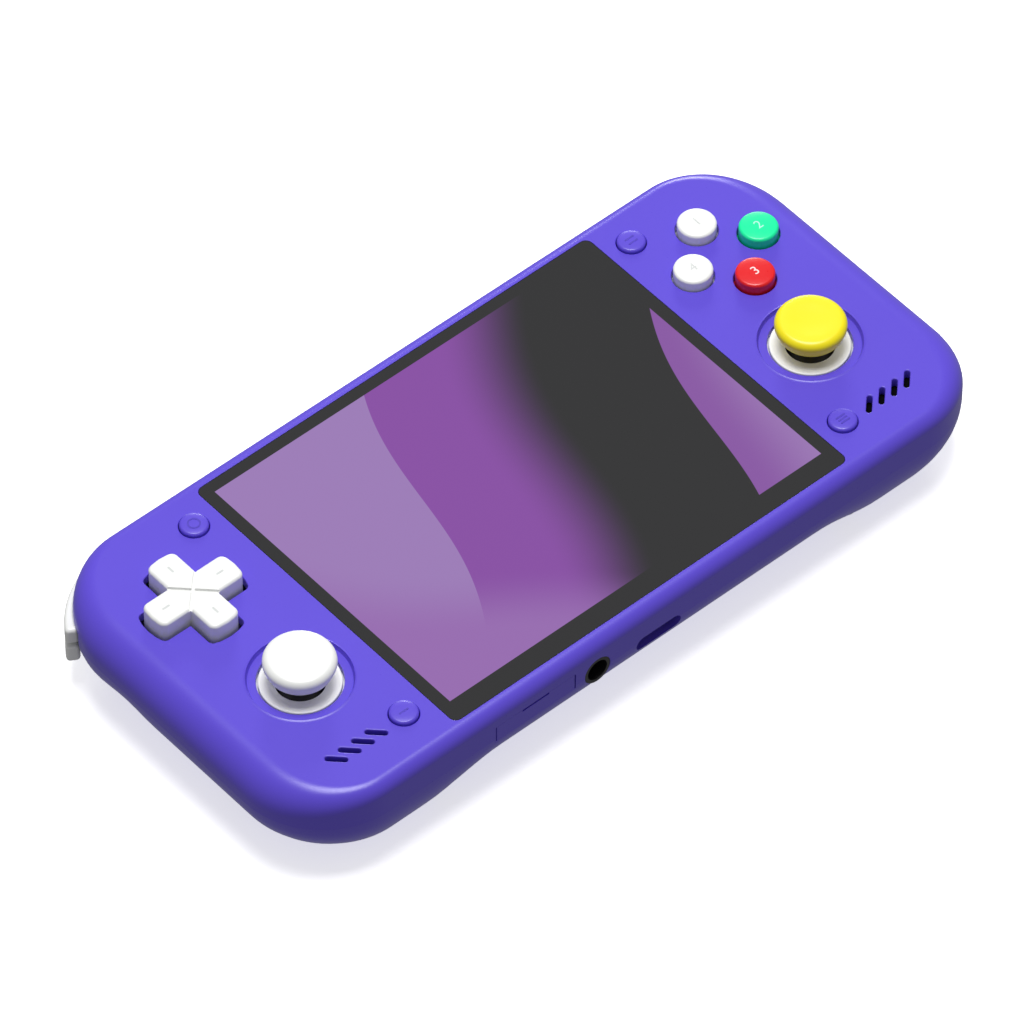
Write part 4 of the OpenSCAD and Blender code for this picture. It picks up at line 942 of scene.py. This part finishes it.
# %% Model the keys of the top edge
DIP_R, DIP_D = 12, 0.25
for node, dips in (("power_key", False), ("volume_rocker", True)):
    key_low, key_high = ([v / MM for v in corner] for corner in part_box(node))
    key_low[0] += FLANGE_OUT
    key_high[0] -= FLANGE_OUT
    key_low[1], key_low[2] = high[1] - 2.6, key_high[2] - 2
    key = block(key_low, key_high)
    round_edges(key, 0.35, 4, lambda ps: sum(p.y > (key_high[1] - 0.01) * MM for p in ps) == 2)
    if dips:
        combine(key, peg((middle(node)[0], key_high[1] + DIP_R - DIP_D), DIP_R, key_low[2] - 1, key_high[2] + 1, 256))
    settle(key, node + "_cap", node, case_abs, [node])

# %% Model the card cover
cover_low, cover_high = ([v / MM for v in corner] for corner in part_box("card_cover"))
cover_low[0] += PIN_OUT
cover_high[0] -= PIN_OUT
cover = block(cover_low, cover_high)
round_edges(cover, 0.1, 3, lambda ps: abs(ps[0].z - ps[1].z) > MM and all(
    p.y < (cover_low[1] + 0.01) * MM for p in ps))
NAIL_L, NAIL_D = 5, 0.35
x = (cover_low[0] + cover_high[0]) / 2
combine(cover, block((x - NAIL_L / 2, cover_low[1] - 1, cover_high[2] - NAIL_D),
                     (x + NAIL_L / 2, cover_low[1] + NAIL_D, cover_high[2] + 1)))
settle(cover, "card_slot_cover", "card_cover", case_abs, ["card_cover"])

# %% [markdown]
# ## Inner parts
#
# The ports, switches, board and battery keep their CAD shapes, because they are plain stamped, moulded or wrapped
# parts and hardly show. Each still gets the finish of its real material, chosen by the record's material slot.

# %% Finishes of the inner parts


def brushed_metal(name, colour, roughness):
    """Rolled sheet metal: fine streaks along X that spread the highlight."""
    finish, tree, shader, coords = new_finish(name)
    stretched = add_node(tree, "ShaderNodeMapping", {"Vector": coords, "Scale": (0.04, 1, 1)})
    streaks = add_node(tree, "ShaderNodeTexNoise", {
        "Vector": stretched.outputs["Vector"], "Scale": 1 / (0.2 * MM), "Detail": 2})
    spread = add_node(tree, "ShaderNodeMapRange", {
        "Value": streaks.outputs["Fac"], "To Min": roughness - 0.08, "To Max": roughness + 0.08})
    tree.links.new(spread.outputs["Result"], shader.inputs["Roughness"])
    shader.inputs["Base Color"].default_value = linear(colour)
    shader.inputs["Metallic"].default_value = 1
    return finish


def board_laminate():
    """Solder mask over copper: green lacquer with lighter traces on a grid of 1.2 mm."""
    finish, tree, shader, coords = new_finish("solder mask on laminate")
    traces = add_node(tree, "ShaderNodeTexBrick", {"Vector": coords, "Scale": 1 / (2.4 * MM), "Mortar Size": 0.06})
    traces.inputs["Color1"].default_value = linear("#12502E")
    traces.inputs["Color2"].default_value = linear("#145633")
    traces.inputs["Mortar"].default_value = linear("#1F7A4A")
    tree.links.new(traces.outputs["Color"], shader.inputs["Base Color"])
    shader.inputs["Roughness"].default_value = 0.35
    return finish


steel = brushed_metal("nickel plated steel", "#C9CACC", 0.3)
silicone = moulded_plastic("grey silicone", "#7C7C86", "#84848E", 0.6, 0.5, 0.004)
film = moulded_plastic("amber polyimide film", "#C27A24", "#CB842D", 0.3, 2, 0.002)
tape = moulded_plastic("black acrylic tape", "#0D0D0D", "#131313", 0.7, 0.6, 0.01)
graphite = moulded_plastic("graphite film", "#26272A", "#303135", 0.4, 0.8, 0.004)
pouch = moulded_plastic("wrapped battery pouch", "#1B1C20", "#222328", 0.35, 6, 0.03)
panel = moulded_plastic("display panel film", "#1C1C1F", "#202024", 0.2, 3, 0.001)
SLOT_FINISH = {"case_plastic": case_abs, "white_plastic": white_abs, "black_plastic": black_pc, "display": panel,
               "adhesive": tape, "silicone": silicone, "steel": steel, "circuit_board": board_laminate(),
               "ribbon": film, "graphite": graphite, "battery_pouch": pouch}
dressed = 0
for part in frame["record"]["subparts"]:
    node = frame["nodes"][part["node"]]
    if not node.hide_render:
        node.data.materials.clear()
        finish = cloth if "speaker" in part["node"] else SLOT_FINISH[part["material_slot"]]
        node.data.materials.append(finish)
        dressed += 1
print("inner parts dressed:", dressed)

# %% [markdown]
# ## Floor
#
# The console lies on a pale sheet that runs out of the picture on all sides. It is lit from below, as on a light
# table, so that only a faint shadow is left, and a slow drift of brightness keeps it from looking empty. A bright
# sheet would also light the sides of the case from below. In a studio, black cards stop that. Here the sheet is
# hidden from the light rays that leave the console, which keeps its sides deep.

# %% Floor
bpy.ops.object.select_all(action="DESELECT")
bpy.ops.mesh.primitive_plane_add(size=6, location=(0, 0, 0))
floor = bpy.context.object
FLOOR_GLOW = 0.6
floor.name = "paper_floor"
paper, tree, shader, coords = new_finish("white paper")
fibre = add_node(tree, "ShaderNodeTexNoise", {"Vector": coords, "Scale": 1 / (60 * MM), "Detail": 3})
pulp = add_node(tree, "ShaderNodeMix", {"Factor": fibre.outputs["Fac"]}, data_type="RGBA")
pulp.inputs["A"].default_value = linear("#F4F4F4")
pulp.inputs["B"].default_value = linear("#F8F8F8")
tree.links.new(pulp.outputs["Result"], shader.inputs["Base Color"])
shader.inputs["Roughness"].default_value = 0.9
shader.inputs["Emission Color"].default_value = linear("#FFFFFF")
shader.inputs["Emission Strength"].default_value = FLOOR_GLOW
floor.data.materials.append(paper)
floor.visible_diffuse = False
floor.visible_glossy = False
